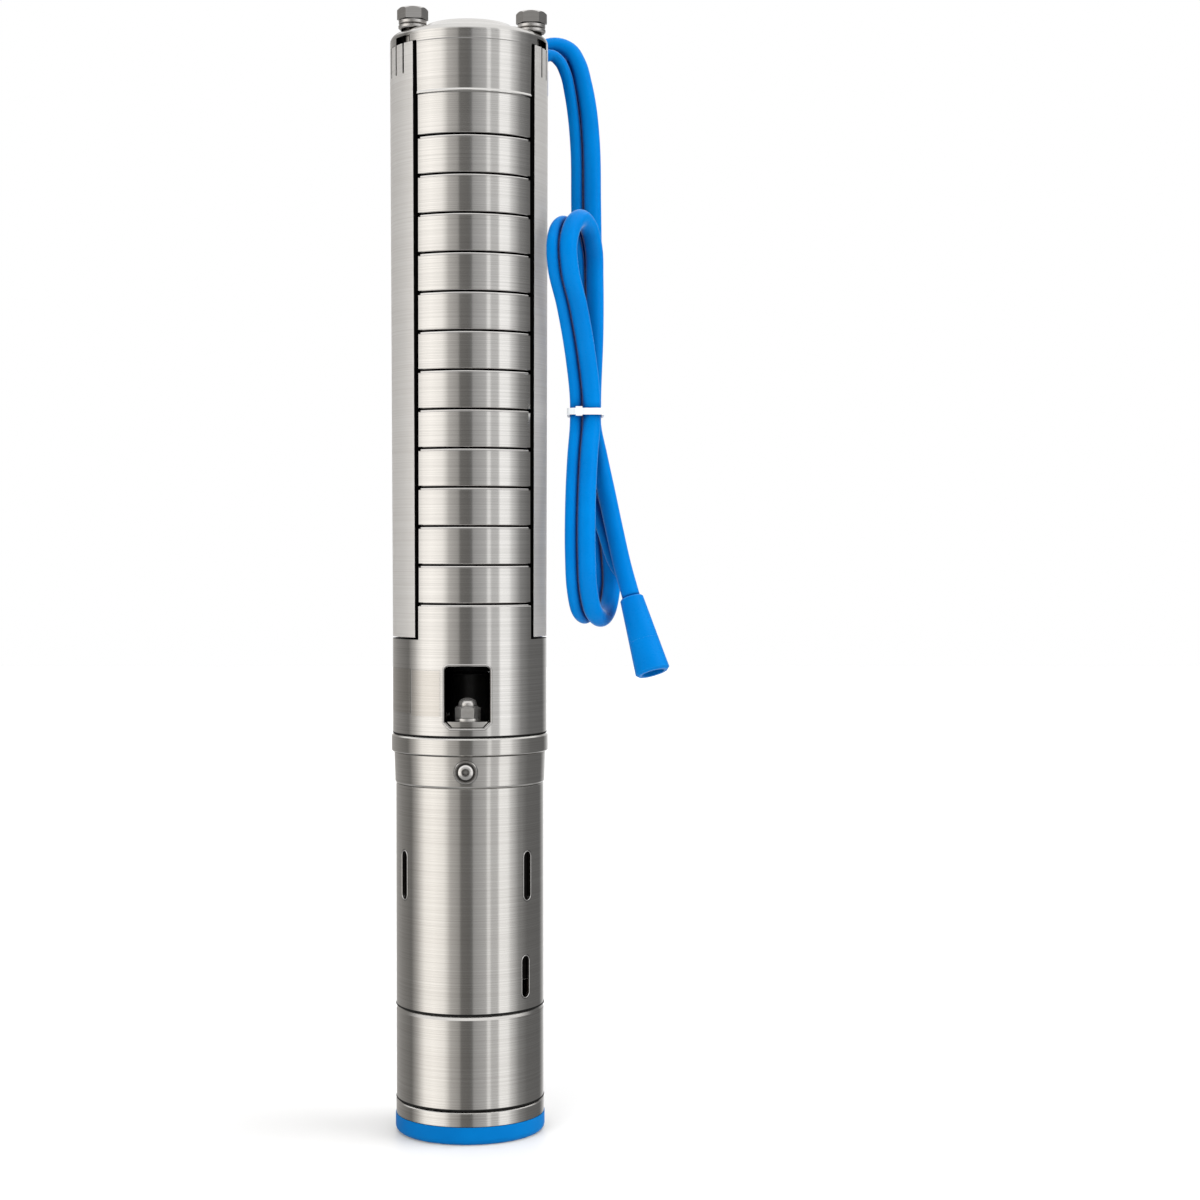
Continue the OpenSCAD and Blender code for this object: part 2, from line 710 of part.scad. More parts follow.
module motor_flange() {
    bevel = 1.3;
    color("silver") difference() {
        rotate_extrude() polygon([
            [slinger_r + 3, z_flange], [flange_r - 0.6, z_flange], [flange_r, z_flange + 0.6],
            [flange_r, z_suction - bevel], [flange_r - bevel, z_suction], [slinger_r + 3, z_suction]]);
        for (turn = stud_turns) at_turn(turn, stud_circle_r, z_flange - 1)
            cylinder(r = stud_r + seat_gap, h = flange_h + 2);
    }
}

// Studs that hold the pump on the motor, each with a bevelled end
module motor_studs() {
    foot = z_flange - stud_root + 0.5;
    top = z_nut + stud_nut_h + stud_over_nut - foot;
    color("gainsboro") for (turn = stud_turns) at_turn(turn, stud_circle_r, foot)
        rotate_extrude() polygon([
            [0, 0], [stud_r, 0], [stud_r, top - stud_bevel], [stud_r - stud_bevel, top], [0, top]]);
}

// Cap nuts that hold the pump on the motor, each with a dome over the stud's end
module stud_nuts() {
    across = stud_nut_af / cos(30);
    dome_r = stud_r + nut_cap_wall;
    dome = [for (a = [0:15:90]) [dome_r * cos(a), stud_nut_h + nut_cap_neck + nut_cap_h * sin(a)]];
    color("gainsboro") for (turn = stud_turns) at_turn(turn, stud_circle_r, z_nut) difference() {
        union() {
            intersection() {
                hexagon(stud_nut_af, stud_nut_h);
                cylinder(d1 = across + 2 * stud_nut_h, d2 = stud_nut_af - 0.4, h = stud_nut_h);
            }
            rotate_extrude() polygon(concat([[0, stud_nut_h / 2], [dome_r, stud_nut_h / 2]], dome));
        }
        translate([0, 0, -1]) cylinder(r = stud_r + press_gap, h = stud_nut_h + stud_over_nut + seat_gap + 1);
    }
}

module stud_washers() {
    color("silver") for (turn = stud_turns) at_turn(turn, stud_circle_r, z_floor)
        ring(stud_r + press_gap, stud_nut_af / 2 + 1, 0, stud_washer_h);
}

// Window outline with round upper and cut lower corners, standing on its lower edge
module window(grow) {
    w = window_w / 2 + grow;
    r = window_round + grow;
    top = window_h + grow;
    polygon([
        [-w + window_chamfer, -grow], [w - window_chamfer, -grow], [w, window_chamfer - grow],
        [w, top - r], [w - r, top], [r - w, top], [-w, top - r], [-w, window_chamfer - grow]]);
    for (side = [-1, 1]) translate([side * (w - r), top - r]) circle(r = r);
}

// Plate that stands on the motor flange inside the casing and takes the motor studs
module suction_floor() {
    color("silver") difference() {
        ring(floor_bore, suction_bore - press_gap, z_suction, z_floor);
        for (turn = stud_turns) at_turn(turn, stud_circle_r, z_suction - 1)
            cylinder(r = stud_r + seat_gap, h = floor_h + 2);
    }
}

// Casing with an inlet window in front and one at the back, and a ledge below the guards
module suction_casing() {
    bore = suction_bore;
    hook_room = strap_w / 2 + seat_gap;
    color("silver") difference() {
        rotate_extrude() polygon([
            [bore, z_suction], [suction_r - 0.6, z_suction], [suction_r, z_suction + 0.6],
            [suction_r, z_stages - panel_bevel], [suction_r - panel_bevel, z_stages], [bowl_r, z_stages],
            [bowl_r, z_ledge - ledge_t], [bore, z_ledge - ledge_t]]);
        rotate([0, 0, pump_turn]) side_channels(suction_r + 1, z_ledge, z_stages + 1);
        for (turn = window_turns) {
            outwards(turn, z_window, bore - 2, suction_r + 2) window(0);
            intersection() {
                outwards(turn, z_window, bore, suction_r + 2) window(window_rim);
                ring(suction_r - 1, suction_r + 3, z_window - 3, z_window + window_h + 3);
            }
        }
        for (turn = strap_turns) at_turn(turn + pump_turn, body_r, strap_foot_z - seat_gap)
            translate([-hook_room, -1, 0]) cube([2 * hook_room, body_r - bowl_r + 2, hook_h + 2 * seat_gap]);
    }
}

// One stage: a cup with a floor, return vanes under it, and skins on its front and back
module stage_chamber(k) {
    inner = bowl_r - seat_gap - chamber_spigot_t;
    color("silver") translate([0, 0, z_stages + (k - 1) * stage_h]) rotate([0, 0, pump_turn]) {
        difference() {
            rotate_extrude() polygon([
                [inner, -chamber_spigot], [bowl_r - seat_gap, -chamber_spigot], [bowl_r - seat_gap, 0],
                [panel_r - 2, 0], [panel_r - 2, seam_h], [panel_r - 0.4, seam_h], [panel_r, seam_h + 0.4],
                [panel_r, stage_h - panel_bevel], [panel_r - panel_bevel, stage_h], [bowl_r, stage_h],
                [bowl_r, floor_z + floor_t], [neck_out_r + press_gap, floor_z + floor_t],
                [neck_out_r + press_gap, floor_z], [inner, floor_z]]);
            side_channels(panel_r + 1, -1, stage_h + 1);
            panel_hollows(stage_h);
        }
        return_guide();
    }
}

// Rubber bushes that carry the sleeves, one in each chamber and one in the outlet diffuser
module stage_bearings() {
    color("black") for (k = [0:stage_n]) translate([0, 0, z_stages + k * stage_h])
        ring(sleeve_r + running_gap, bearing_out_r, bearing_margin, floor_z - bearing_margin);
}

// Wear rings around the impeller eyes, each hanging by a lip on its chamber's floor
module neck_rings() {
    foot = floor_z + vane_bite + press_gap;
    top = floor_z + floor_t;
    color("dimgray") for (k = [0:stage_n - 1]) translate([0, 0, z_stages + k * stage_h])
        rotate_extrude() polygon([
            [neck_r, foot], [neck_out_r, foot], [neck_out_r, top], [neck_out_r + neck_lip, top],
            [neck_out_r + neck_lip, top + neck_lip_h], [neck_r, top + neck_lip_h]]);
}

// Last return guide, clamped between the top chamber and the discharge casing
module outlet_diffuser() {
    color("silver") translate([0, 0, z_discharge]) rotate([0, 0, pump_turn]) {
        return_guide();
        rotate_extrude() polygon([
            [valve_bore - 2, 0], [diffuser_flange_r, 0], [diffuser_flange_r, diffuser_flange_h],
            [valve_bore - seat_gap, diffuser_flange_h], [valve_bore - seat_gap, diffuser_h],
            [valve_passage + 5, diffuser_h], [valve_passage + 5, floor_z], [valve_bore - 2, floor_z]]);
    }
}

// Top casing: valve bore, throat, threaded outlet, skins with a ridge, and a rim with strap holes and notches
module discharge_casing() {
    line_z = discharge_h - rim_line;
    foot_z = discharge_h - rim_h;
    collar_z = discharge_h + collar_h;
    bore_h = z_throat - z_discharge;
    color("silver") translate([0, 0, z_discharge]) rotate([0, 0, pump_turn]) difference() {
        rotate_extrude() difference() {
            union() {
                polygon([
                    [throat_r, 0], [panel_r - 2, 0], [panel_r - 2, seam_h], [panel_r - 0.4, seam_h],
                    [panel_r, seam_h + 0.4], [panel_r + 0.1, ridge_lift - ridge_h],
                    [ridge_r + ridge_bead, ridge_lift - ridge_bead], [ridge_r + ridge_bead, ridge_lift],
                    [ridge_r, ridge_lift + ridge_h],
                    [rim_r - 0.3, foot_z - 1.2], [rim_r, foot_z - 0.6], [rim_r, line_z - rim_line_w],
                    [rim_r - 0.5, line_z - rim_line_w], [rim_r - 0.5, line_z], [rim_r, line_z],
                    [rim_r, discharge_h - rim_round], [rim_r - rim_round, discharge_h - rim_round],
                    [rim_r - rim_round, discharge_h],
                    [collar_d / 2, discharge_h], [collar_d / 2, collar_z - collar_slope_h],
                    [collar_d / 2 - collar_slope_r, collar_z], [outlet_d / 2, collar_z],
                    [outlet_d / 2, bore_h]]);
                translate([rim_r - rim_round, discharge_h - rim_round]) circle(r = rim_round);
            }
            polygon([
                [0, -1], [diffuser_flange_r + seat_gap, -1],
                [diffuser_flange_r + seat_gap, diffuser_flange_h], [valve_bore, diffuser_flange_h],
                [valve_bore, bore_h], [throat_r, bore_h],
                [outlet_d / 2, bore_h + throat_h], [0, bore_h + throat_h]]);
        }
        side_channels(rim_r + 1, -1, foot_z);
        for (turn = strap_turns) at_turn(turn, strap_radius, stud_foot_z - z_discharge - seat_gap)
            cylinder(r = stud_hole_r, h = z_rim - stud_foot_z + 1);
        for (guard = [-90, 90], side = [-1, 1])
            at_turn(guard + side * notch_turn, rim_r, foot_z - 1)
                translate([-notch_w / 2, -2, 0]) cube([notch_w, notch_depth + 2, notch_h + 1]);
    }
}

module valve_seat() {
    color("silver") ring(valve_passage, valve_bore - seat_gap, z_seat, z_cage);
}

// Sleeve that spaces the seat from the throat and carries the stem guide on three arms
module valve_cage() {
    wall_r = valve_bore - seat_gap - cage_wall;
    color("gainsboro") difference() {
        union() {
            ring(wall_r, valve_bore - seat_gap, z_cage, z_throat);
            translate([0, 0, z_guide]) cylinder(r = guide_hub_r, h = z_guide_top + guide_arm_h - z_guide);
            for (turn = strap_turns) at_turn(turn, 0, z_guide_top)
                translate([-guide_arm_w / 2, -wall_r - 0.5, 0])
                    cube([guide_arm_w, wall_r - guide_hub_r + 2, guide_arm_h]);
        }
        translate([0, 0, z_guide - 1]) cylinder(r = valve_stem_r + running_gap, h = z_throat - z_guide + 2);
    }
}

// Check valve: a plug in the seat, a flange over it and a stem in the guide
module valve_cup() {
    plug_r = valve_passage - 0.6;
    flange_top = z_valve_flange + valve_flange_h;
    stem_top = z_guide_top + guide_arm_h;
    color("dimgray") rotate_extrude() polygon([
        [0, z_seat + 2], [plug_r - 4, z_seat + 2], [plug_r, z_seat + 5], [plug_r, z_valve_flange],
        [valve_flange_r, z_valve_flange], [valve_flange_r, flange_top - 1], [valve_flange_r - 1, flange_top],
        [valve_stem_r, flange_top], [valve_stem_r, stem_top - 1], [valve_stem_r - 1, stem_top], [0, stem_top]]);
}

// Coil spring between the valve flange and the stem guide
module valve_spring() {
    rise = z_guide - z_spring - seat_gap - spring_wire;
    steps = spring_turns * 16;
    path = [for (i = [0:steps]) [spring_r * cos(i * 22.5), spring_r * sin(i * 22.5),
        z_spring + spring_wire / 2 + rise * i / steps]];
    color("gainsboro") sweep(path, [0, 0, 1], round_section(spring_wire / 2, 8));
}

// Flat straps with a hook at the foot and a stud through the rim
module tie_straps() {
    color("lightgray") for (turn = strap_turns) rotate([0, 0, turn + pump_turn]) {
        translate([-strap_w / 2, -strap_face_r - strap_t, strap_foot_z])
            cube([strap_w, strap_t, strap_head_z - strap_foot_z]);
        translate([-strap_w / 2, -strap_face_r - 1, strap_foot_z])
            cube([strap_w, strap_face_r + 1 - bowl_r - 0.5, hook_h]);
        translate([0, -strap_radius, stud_foot_z])
            cylinder(d = strap_stud_d, h = z_strap_nut + strap_nut_h - stud_foot_z);
    }
}

module strap_nuts() {
    across = strap_nut_af / cos(30);
    color("gainsboro") for (k = [0:2])
        at_turn(strap_turns[k] + pump_turn, strap_radius, z_strap_nut) difference() {
            rotate([0, 0, strap_nut_twists[k]]) intersection() {
                hexagon(strap_nut_af, strap_nut_h);
                cylinder(d1 = across + 2 * strap_nut_h, d2 = strap_nut_af - 0.6, h = strap_nut_h);
            }
            translate([0, 0, -1]) cylinder(d = strap_stud_d + 2 * press_gap, h = strap_nut_h + 2);
        }
}

// Washer on a strap stud, with eased outer edges
module washer(r, h) {
    bore = strap_stud_d / 2 + press_gap;
    ease = h / 4;
    rotate_extrude() polygon([
        [bore, 0], [r - ease, 0], [r, ease], [r, h - ease], [r - ease, h], [bore, h]]);
}

// Split rings, each with its slanting cut facing the outlet
module spring_washers() {
    foot = z_rim + flat_washer_h;
    color("silver") for (turn = strap_turns) at_turn(turn + pump_turn, strap_radius, foot) difference() {
        washer(spring_washer_r, spring_washer_h);
        translate([0, 0, spring_washer_h / 2]) rotate([0, spring_washer_slant, 0])
            translate([-spring_washer_cut / 2, 1, -5]) cube([spring_washer_cut, spring_washer_r + 1, 10]);
    }
}

module flat_washers() {
    color("silver") for (turn = strap_turns) at_turn(turn + pump_turn, strap_radius, z_rim)
        washer(flat_washer_r, flat_washer_h);
}

// Sheet with folded edges, a hem below and slits at the top, over the strap on one side
module cable_guard(centre, slits) {
    z0 = guard_foot_z;
    z1 = guard_top_z;
    taper = (guard_top_r - guard_foot_r) / (z1 - z0);
    inner_r = guard_foot_r - guard_t;
    difference() {
        sector(centre, guard_angle) polygon([
            [guard_edge_r, z0], [guard_foot_r, z0], [guard_top_r, z1], [guard_edge_r, z1]]);
        sector(centre, guard_angle - 2 * guard_fold) polygon([
            [guard_edge_r - 1, z0 + guard_t], [inner_r + taper * guard_t, z0 + guard_t],
            [inner_r + taper * (z1 - z0 + 1), z1 + 1], [guard_edge_r - 1, z1 + 1]]);
        for (turn = slits) outwards(centre + turn, z1 - slit_h, body_r, rim_r + 2)
            obround(slit_w, slit_h + 2 * slit_w);
        for (turn = strap_turns) at_turn(turn, strap_face_r - 1, z0 - 1)
            translate([-strap_w / 2 - 1, -strap_t - 2, 0]) cube([strap_w + 2, strap_t + 3, 4]);
    }
}

module cable_guard_left() {
    color("lightgray") rotate([0, 0, pump_turn]) cable_guard(-90, slit_turns);
}

// The right guard also lets the motor lead in at its foot and the gland out at its top
module cable_guard_right() {
    open_slits = [for (turn = slit_turns) if (turn < 12) turn];
    color("lightgray") difference() {
        rotate([0, 0, pump_turn]) cable_guard(90, open_slits);
        outwards(gland_turn, gland_z - gland_taper_h - 2, body_r - 2, rim_r + 4)
            translate([-guard_port_w / 2, 0]) square([guard_port_w, guard_port_h]);
        outwards(gland_turn, guard_foot_z - 2, body_r - 2, rim_r + 4)
            translate([-guard_entry_w / 2, 0]) square([guard_entry_w, guard_entry_h]);
    }
}

// Flat lead from the end bell, up outside the suction casing and under the right guard to the gland
module motor_lead() {
    side = [
        [motor_r - 4, lead_hole_z], [bell_top_r, lead_hole_z + 0.4], [lead_flange_r - 1, z_flange - 5],
        [lead_flange_r, z_flange], [lead_flange_r, z_suction + 1], [lead_suction_r, z_suction + 7],
        [lead_suction_r, z_ledge + 1], [lead_channel_r + 3, z_ledge + 9], [lead_channel_r, z_ledge + 18],
        [lead_channel_r, z_ledge + 30], [lead_channel_r, gland_z - 12], [lead_channel_r, gland_z]];
    path = [for (p = side) [p[0] * sin(gland_turn), -p[0] * cos(gland_turn), p[1]]];
    color("royalblue") sweep(path, [cos(gland_turn), sin(gland_turn), 0], flat_section(lead_w, lead_t));
}

// Moulded gland that turns the flat lead into the two round cables
module cable_gland() {
    mouths = [[power_route[0], cable_d / 2 + gland_wall], [thin_route[0], thin_d / 2 + gland_wall]];
    color("midnightblue") {
        at_turn(gland_turn, 0, gland_z) translate([-gland_block_w / 2, -gland_face_r, 0])
            cube([gland_block_w, gland_face_r - body_r - 0.5, gland_mouth_z - gland_z - 4]);
        for (m = mouths) translate([m[0][0], m[0][1], gland_z - gland_taper_h + 4]) {
            cylinder(r1 = m[1] * 0.6, r2 = m[1], h = gland_taper_h);
            translate([0, 0, gland_taper_h]) cylinder(r = m[1], h = gland_mouth_z - gland_z - 4);
        }
    }
}

// Motor shaft from the thrust disc to the spline in the coupling
module motor_shaft() {
    step_z = z_thrust + thrust_disc_h;
    color("gainsboro") rotate_extrude() polygon([
        [0, z_thrust], [shaft_tail_r, z_thrust], [shaft_tail_r, step_z], [shaft_r, step_z],
        [shaft_r, z_flange + 7], [shaft_spline_r, z_flange + 8.5], [shaft_spline_r, coupling_mid - 2],
        [shaft_spline_r - 1, coupling_mid - 1], [0, coupling_mid - 1]]);
}

module rotor_core() {
    color("dimgray") ring(shaft_r + press_gap, rotor_r - magnet_t - press_gap,
        z_shell + stator_end + 1, z_bell - stator_end - 1);
}

// Curved magnets glued around the core
module rotor_magnets() {
    color("slategray") for (k = [0:magnet_n - 1]) sector(k * 360 / magnet_n, 360 / magnet_n - 5)
        translate([rotor_r - magnet_t, z_shell + stator_end + 3])
            square([magnet_t, shell_h - 2 * stator_end - 6]);
}

module thrust_disc() {
    color("gray") ring(shaft_tail_r + press_gap, thrust_disc_r, z_thrust, z_thrust + thrust_disc_h);
}

// Rubber slinger that throws sand off the shaft seal
module sand_slinger() {
    foot = z_flange + 1;
    color("black") rotate_extrude() polygon([
        [shaft_r + press_gap, foot], [slinger_r, foot], [slinger_r, foot + 1],
        [slinger_r - 3, foot + slinger_t], [shaft_r + 3, foot + slinger_t], [shaft_r + 2, foot + 5],
        [shaft_r + press_gap, foot + 5]]);
}

// Sleeve coupling: round bore for the motor spline below, hexagonal bore for the pump shaft above
module coupling() {
    color("darkgray") difference() {
        rotate_extrude() polygon([
            [0, coupling_z0], [coupling_r - 1, coupling_z0], [coupling_r, coupling_z0 + 1],
            [coupling_r, coupling_z1 - 12], [coupling_r - 2.5, coupling_z1 - 9],
            [coupling_r - 2.5, coupling_z1], [0, coupling_z1]]);
        translate([0, 0, coupling_z0 - 1])
            cylinder(r = shaft_spline_r + press_gap, h = coupling_mid - coupling_z0 + 1);
        translate([0, 0, coupling_mid]) hexagon(pump_shaft_af + 2 * press_gap, coupling_z1);
    }
}

module pump_shaft() {
    foot = coupling_mid + 1;
    color("gainsboro") translate([0, 0, foot]) hexagon(pump_shaft_af, z_discharge + sleeve_head - foot);
}

// Sleeves on the hexagonal shaft, between the impellers and at both ends
module bearing_sleeves() {
    over = impeller_top + hub_over - stage_h;
    color("silver") for (k = [0:stage_n]) {
        foot = k == 0 ? -sleeve_foot : over;
        head = k == stage_n ? sleeve_head : impeller_hub_z;
        translate([0, 0, z_stages + k * stage_h + foot]) difference() {
            cylinder(r = sleeve_r, h = head - foot);
            translate([0, 0, -1]) hexagon(pump_shaft_af + 2 * press_gap, head - foot + 2);
        }
    }
}

// Closed impeller: eye skirt, two shrouds, backward curved vanes and a hexagonal hub
module impeller() {
    difference() {
        union() {
            rotate_extrude() polygon([
                [eye_r, floor_z + vane_bite], [skirt_r, floor_z + vane_bite], [skirt_r, impeller_floor],
                [impeller_r, impeller_floor], [impeller_r, impeller_hub_z], [eye_r, impeller_hub_z]]);
            translate([0, 0, impeller_hub_z - vane_bite]) linear_extrude(impeller_passage + 2 * vane_bite)
                vanes(impeller_vanes, impeller_hub_r + 2.5, impeller_r, vane_t, -1);
            translate([0, 0, impeller_top - shroud_t]) cylinder(r = impeller_r, h = shroud_t);
            translate([0, 0, impeller_hub_z])
                cylinder(r = impeller_hub_r, h = impeller_top + hub_over - impeller_hub_z);
        }
        translate([0, 0, impeller_hub_z - 1]) hexagon(pump_shaft_af + 2 * press_gap, impeller_top);
    }
}

module impellers() {
    color("lightgray") for (k = [0:stage_n - 1]) translate([0, 0, z_stages + k * stage_h]) impeller();
}

module power_cable() {
    color("dodgerblue") sweep(power_route, [1, 0, 0], round_section(cable_d / 2, tube_sides));
}

module sensor_cable() {
    color("dodgerblue") sweep(thin_route, [1, 0, 0], round_section(thin_d / 2, tube_sides));
}

// Tapered boot with a side lobe for the thin cable, and the socket sleeve bonded under it
module cable_connector() {
    neck = connector_neck_d / 2;
    mouth = connector_d / 2;
    joint_z = socket_depth - connector_h;
    joint_r = mouth - socket_depth * (mouth - neck) / connector_h;
    color("dodgerblue") translate(power_route[len(power_route) - 1]) rotate(connector_tilt)
        translate([0, 0, -seat_gap]) {
            rotate_extrude() polygon([
                [0, 0], [neck - 1, 0], [neck, -1], [joint_r, joint_z + bond_gap], [0, joint_z + bond_gap]]);
            translate([0, thin_offset, -thin_lobe_h]) cylinder(r = thin_lobe_r, h = thin_lobe_h);
            translate([0, thin_offset - thin_lobe_in, joint_z + bond_gap])
                cylinder(r1 = 1, r2 = thin_lobe_r - thin_lobe_in, h = -thin_lobe_h - joint_z);
            rotate_extrude() polygon([
                [socket_d / 2, joint_z], [joint_r, joint_z], [mouth, connector_bevel - connector_h],
                [mouth - connector_bevel, -connector_h], [socket_d / 2, -connector_h]]);
        }
}

// Rectangle with round corners
module round_rectangle(x0, y0, x1, y1, r) {
    translate([x0 + r, y0]) square([x1 - x0 - 2 * r, y1 - y0]);
    translate([x0, y0 + r]) square([x1 - x0, y1 - y0 - 2 * r]);
    for (x = [x0 + r, x1 - r], y = [y0 + r, y1 - r]) translate([x, y]) circle(r = r);
}

// White tie around the three runs of cable, with its locking head in front
module cable_tie() {
    corner = 4;
    color("white") {
        translate([0, 0, tie_z - tie_h / 2]) linear_extrude(tie_h) difference() {
            round_rectangle(tie_x0 - tie_t, tie_y0 - tie_t, tie_x1 + tie_t, tie_y1 + tie_t, corner + tie_t);
            round_rectangle(tie_x0, tie_y0, tie_x1, tie_y1, corner);
        }
        translate([tie_head_x - tie_head[0] / 2, tie_y0 - tie_head[1], tie_z - tie_head[2] / 2])
            cube(tie_head);
    }
}

base_cap();
bottom_ring();
diaphragm();
thrust_carrier();
lower_housing();
motor_bushes();
motor_shell();
stator_core();
stator_windings();
upper_end_bell();
shaft_seal();
filling_plug();
plug_seat_ring();
motor_flange();
motor_studs();
stud_nuts();
stud_washers();
suction_floor();
suction_casing();
for (k = [1:stage_n]) stage_chamber(k);
stage_bearings();
neck_rings();
outlet_diffuser();
discharge_casing();
valve_seat();
valve_cage();
valve_cup();
valve_spring();
tie_straps();
strap_nuts();
spring_washers();
flat_washers();
cable_guard_left();
cable_guard_right();
motor_lead();
cable_gland();
motor_shaft();
rotor_core();
rotor_magnets();
thrust_disc();
sand_slinger();
coupling();
pump_shaft();
bearing_sleeves();
impellers();
power_cable();
sensor_cable();
cable_connector();
cable_tie();
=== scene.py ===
import math

import bmesh
import bpy
import numpy as np
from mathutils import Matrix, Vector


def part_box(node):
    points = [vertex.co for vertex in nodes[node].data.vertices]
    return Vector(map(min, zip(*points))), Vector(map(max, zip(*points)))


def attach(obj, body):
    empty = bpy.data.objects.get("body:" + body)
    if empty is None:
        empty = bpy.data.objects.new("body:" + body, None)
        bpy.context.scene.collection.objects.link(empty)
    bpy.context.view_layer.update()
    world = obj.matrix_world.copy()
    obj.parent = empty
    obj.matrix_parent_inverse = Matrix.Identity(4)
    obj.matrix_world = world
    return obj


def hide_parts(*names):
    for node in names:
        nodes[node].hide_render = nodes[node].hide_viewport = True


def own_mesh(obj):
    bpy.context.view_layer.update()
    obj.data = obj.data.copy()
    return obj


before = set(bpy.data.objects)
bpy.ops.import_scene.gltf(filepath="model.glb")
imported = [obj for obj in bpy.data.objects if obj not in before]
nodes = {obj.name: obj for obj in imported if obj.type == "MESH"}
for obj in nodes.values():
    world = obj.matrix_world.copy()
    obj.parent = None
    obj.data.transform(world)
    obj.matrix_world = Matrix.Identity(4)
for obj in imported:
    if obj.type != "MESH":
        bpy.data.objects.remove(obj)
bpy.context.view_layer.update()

# Camera
# It stands about level with the pump's middle, to the right of the axis, and looks slightly down.
# The focal length is in pixels of an image of 1200 by 1200.
IMAGE_SIDE = 1200
FOCAL_PIXELS = 2318
SENSOR_MM = 36
NEAR_CLIP = 0.01
CAMERA_AT = (0.084, -1.495, 0.373)
CAMERA_DIP = 1.19
lens = bpy.data.cameras.new("camera")
lens.sensor_width = SENSOR_MM
lens.lens = SENSOR_MM * FOCAL_PIXELS / IMAGE_SIDE
lens.clip_start = NEAR_CLIP
camera = bpy.data.objects.new("camera", lens)
camera.location = CAMERA_AT
camera.rotation_euler = (math.radians(90 - CAMERA_DIP), 0, 0)
bpy.context.scene.collection.objects.link(camera)
bpy.context.scene.camera = camera

# Power cable and sensor cable
# Two round cables in extruded blue PVC, folded into a hank that hangs beside the pump end.
# They leave the gland at the back, and the connector is moulded on their lower ends.
CABLE_D = 0.0116
THIN_D = 0.0076
CABLE_STEP = 0.002
CABLE_SIDES = 36
ROUTE_SPLITS = 40
WEB_T = 0.001
WEB_RUN = (0.045, 0.875)
WEB_SHARE = (0.4, 0.76)
PARTNER_REACH = 0.03
HOLLOW_REACH = 0.012
CLOUDS_PER_METRE = 33
NOISE_SPAN = (0.3, 0.7)
PLASTIC_HIGHLIGHT_R = 0.0005
GRAIN_HEIGHT = 0.0002
PLASTIC_IOR = 1.5
PLASTIC_SPREAD = (-0.05, 0.06)
RAYS = 4
EDGE_COSINES = (0.99, 0.86)
OPEN_SHARES = (0.38, 0.86)
POWER_ROUTE_MM = [
    (41, 39.6, 688), (41, 39.6, 695), (44.5, 40.8, 702), (50, 41.7, 705.8), (57, 42, 706.2),
    (64, 41.8, 703), (69, 41, 695), (73, 39.5, 681), (76, 38, 665), (78, 36.5, 645), (79, 34, 600),
    (79.5, 30, 550), (79.5, 21, 505), (79, 13.2, 470), (79, 13.2, 455), (82, 16, 430), (87, 21, 400),
    (91, 24, 370), (91.5, 22, 350), (89, 13, 336), (84.5, -3, 330.5), (79.5, -18, 336), (76.5, -26, 350),
    (75.5, -28, 370), (75.5, -25.5, 400), (77, -16.5, 435), (78.5, -11.6, 455), (78.5, -11.6, 470),
    (76, -14, 495), (70, -22, 530), (64.8, -28.5, 552), (64, -29.5, 568), (67, -24, 580), (72, -12, 585.5),
    (77, 0, 581), (80, 6.5, 568), (80.5, 8, 550), (80.5, 5.5, 515), (79, 0.8, 470), (79, 0.8, 455),
    (83, 0.9, 435), (88, 0.8, 412), (93.5, -0.5, 386), (98.6, -3, 363.5), (104, -8, 344)]
THIN_ROUTE_MM = [
    (44.8, 30.4, 688), (44.8, 30.4, 693), (48.3, 31.2, 697.5), (53, 33.5, 698.5), (57.5, 35, 695),
    (61.3, 36, 687.5), (64.4, 36.2, 674), (66.6, 36, 659), (68.2, 35.5, 640), (68.8, 33.5, 600),
    (69.4, 30, 550), (69.4, 21, 505), (69, 13.2, 470), (69, 13.2, 455), (72, 16, 430), (77, 21, 400),
    (81, 24, 370), (81.6, 22, 350), (78.8, 13, 336), (74.2, -3, 330.5), (69.2, -18, 336), (66.6, -26, 350),
    (65.6, -28, 370), (65.6, -25.5, 400), (67, -16.5, 435), (68.5, -11.6, 455), (68.5, -11.6, 470),
    (66, -14, 495), (60, -22.5, 530), (54.8, -29.5, 552), (54, -30.5, 567), (56.1, -24.2, 578),
    (61.1, -12.2, 583.5), (66.1, -0.6, 579.5), (69.3, 5.8, 567), (70.4, 7.5, 550), (70.5, 5.5, 515),
    (69, 0.8, 470), (69, 0.8, 455), (72, 3, 435), (77.5, 6.5, 412), (86, 8.8, 386), (94.2, 8.4, 363.5),
    (101.3, 4.9, 353.5), (104.75, 1.7, 341.6)]


def linear(code):
    """Linear colour of an sRGB hex value."""
    c = np.array([int(code[i:i + 2], 16) for i in (1, 3, 5)]) / 255
    return (*np.where(c <= 0.04045, c / 12.92, ((c + 0.055) / 1.055) ** 2.4), 1)


def feed(tree, node, values):
    """Sets a node's inputs: an output is linked, anything else becomes the input's own value."""
    for key, value in values.items():
        if isinstance(value, bpy.types.NodeSocket):
            tree.links.new(value, node.inputs[key])
        else:
            node.inputs[key].default_value = value


def add(tree, kind, values, stops=(), **settings):
    """Adds one node with its settings, its colour stops if it has any, and its inputs. The two colours of a Mix
    node are its inputs 6 and 7, and the mixed colour is its output 2."""
    node = tree.nodes.new(kind)
    for key, value in settings.items():
        setattr(node, key, value)
    for index, (at, colour) in enumerate(stops):
        element = node.color_ramp.elements[index] if index < 2 else node.color_ramp.elements.new(at)
        element.position = at
        element.color = colour
    feed(tree, node, values)
    return node


def new_material(name):
    """A material with its node tree, its shader and the object's own coordinates in metres."""
    material = bpy.data.materials.new(name)
    material.use_nodes = True
    tree = material.node_tree
    place = add(tree, "ShaderNodeTexCoord", {}).outputs["Object"]
    return material, tree, tree.nodes["Principled BSDF"], place


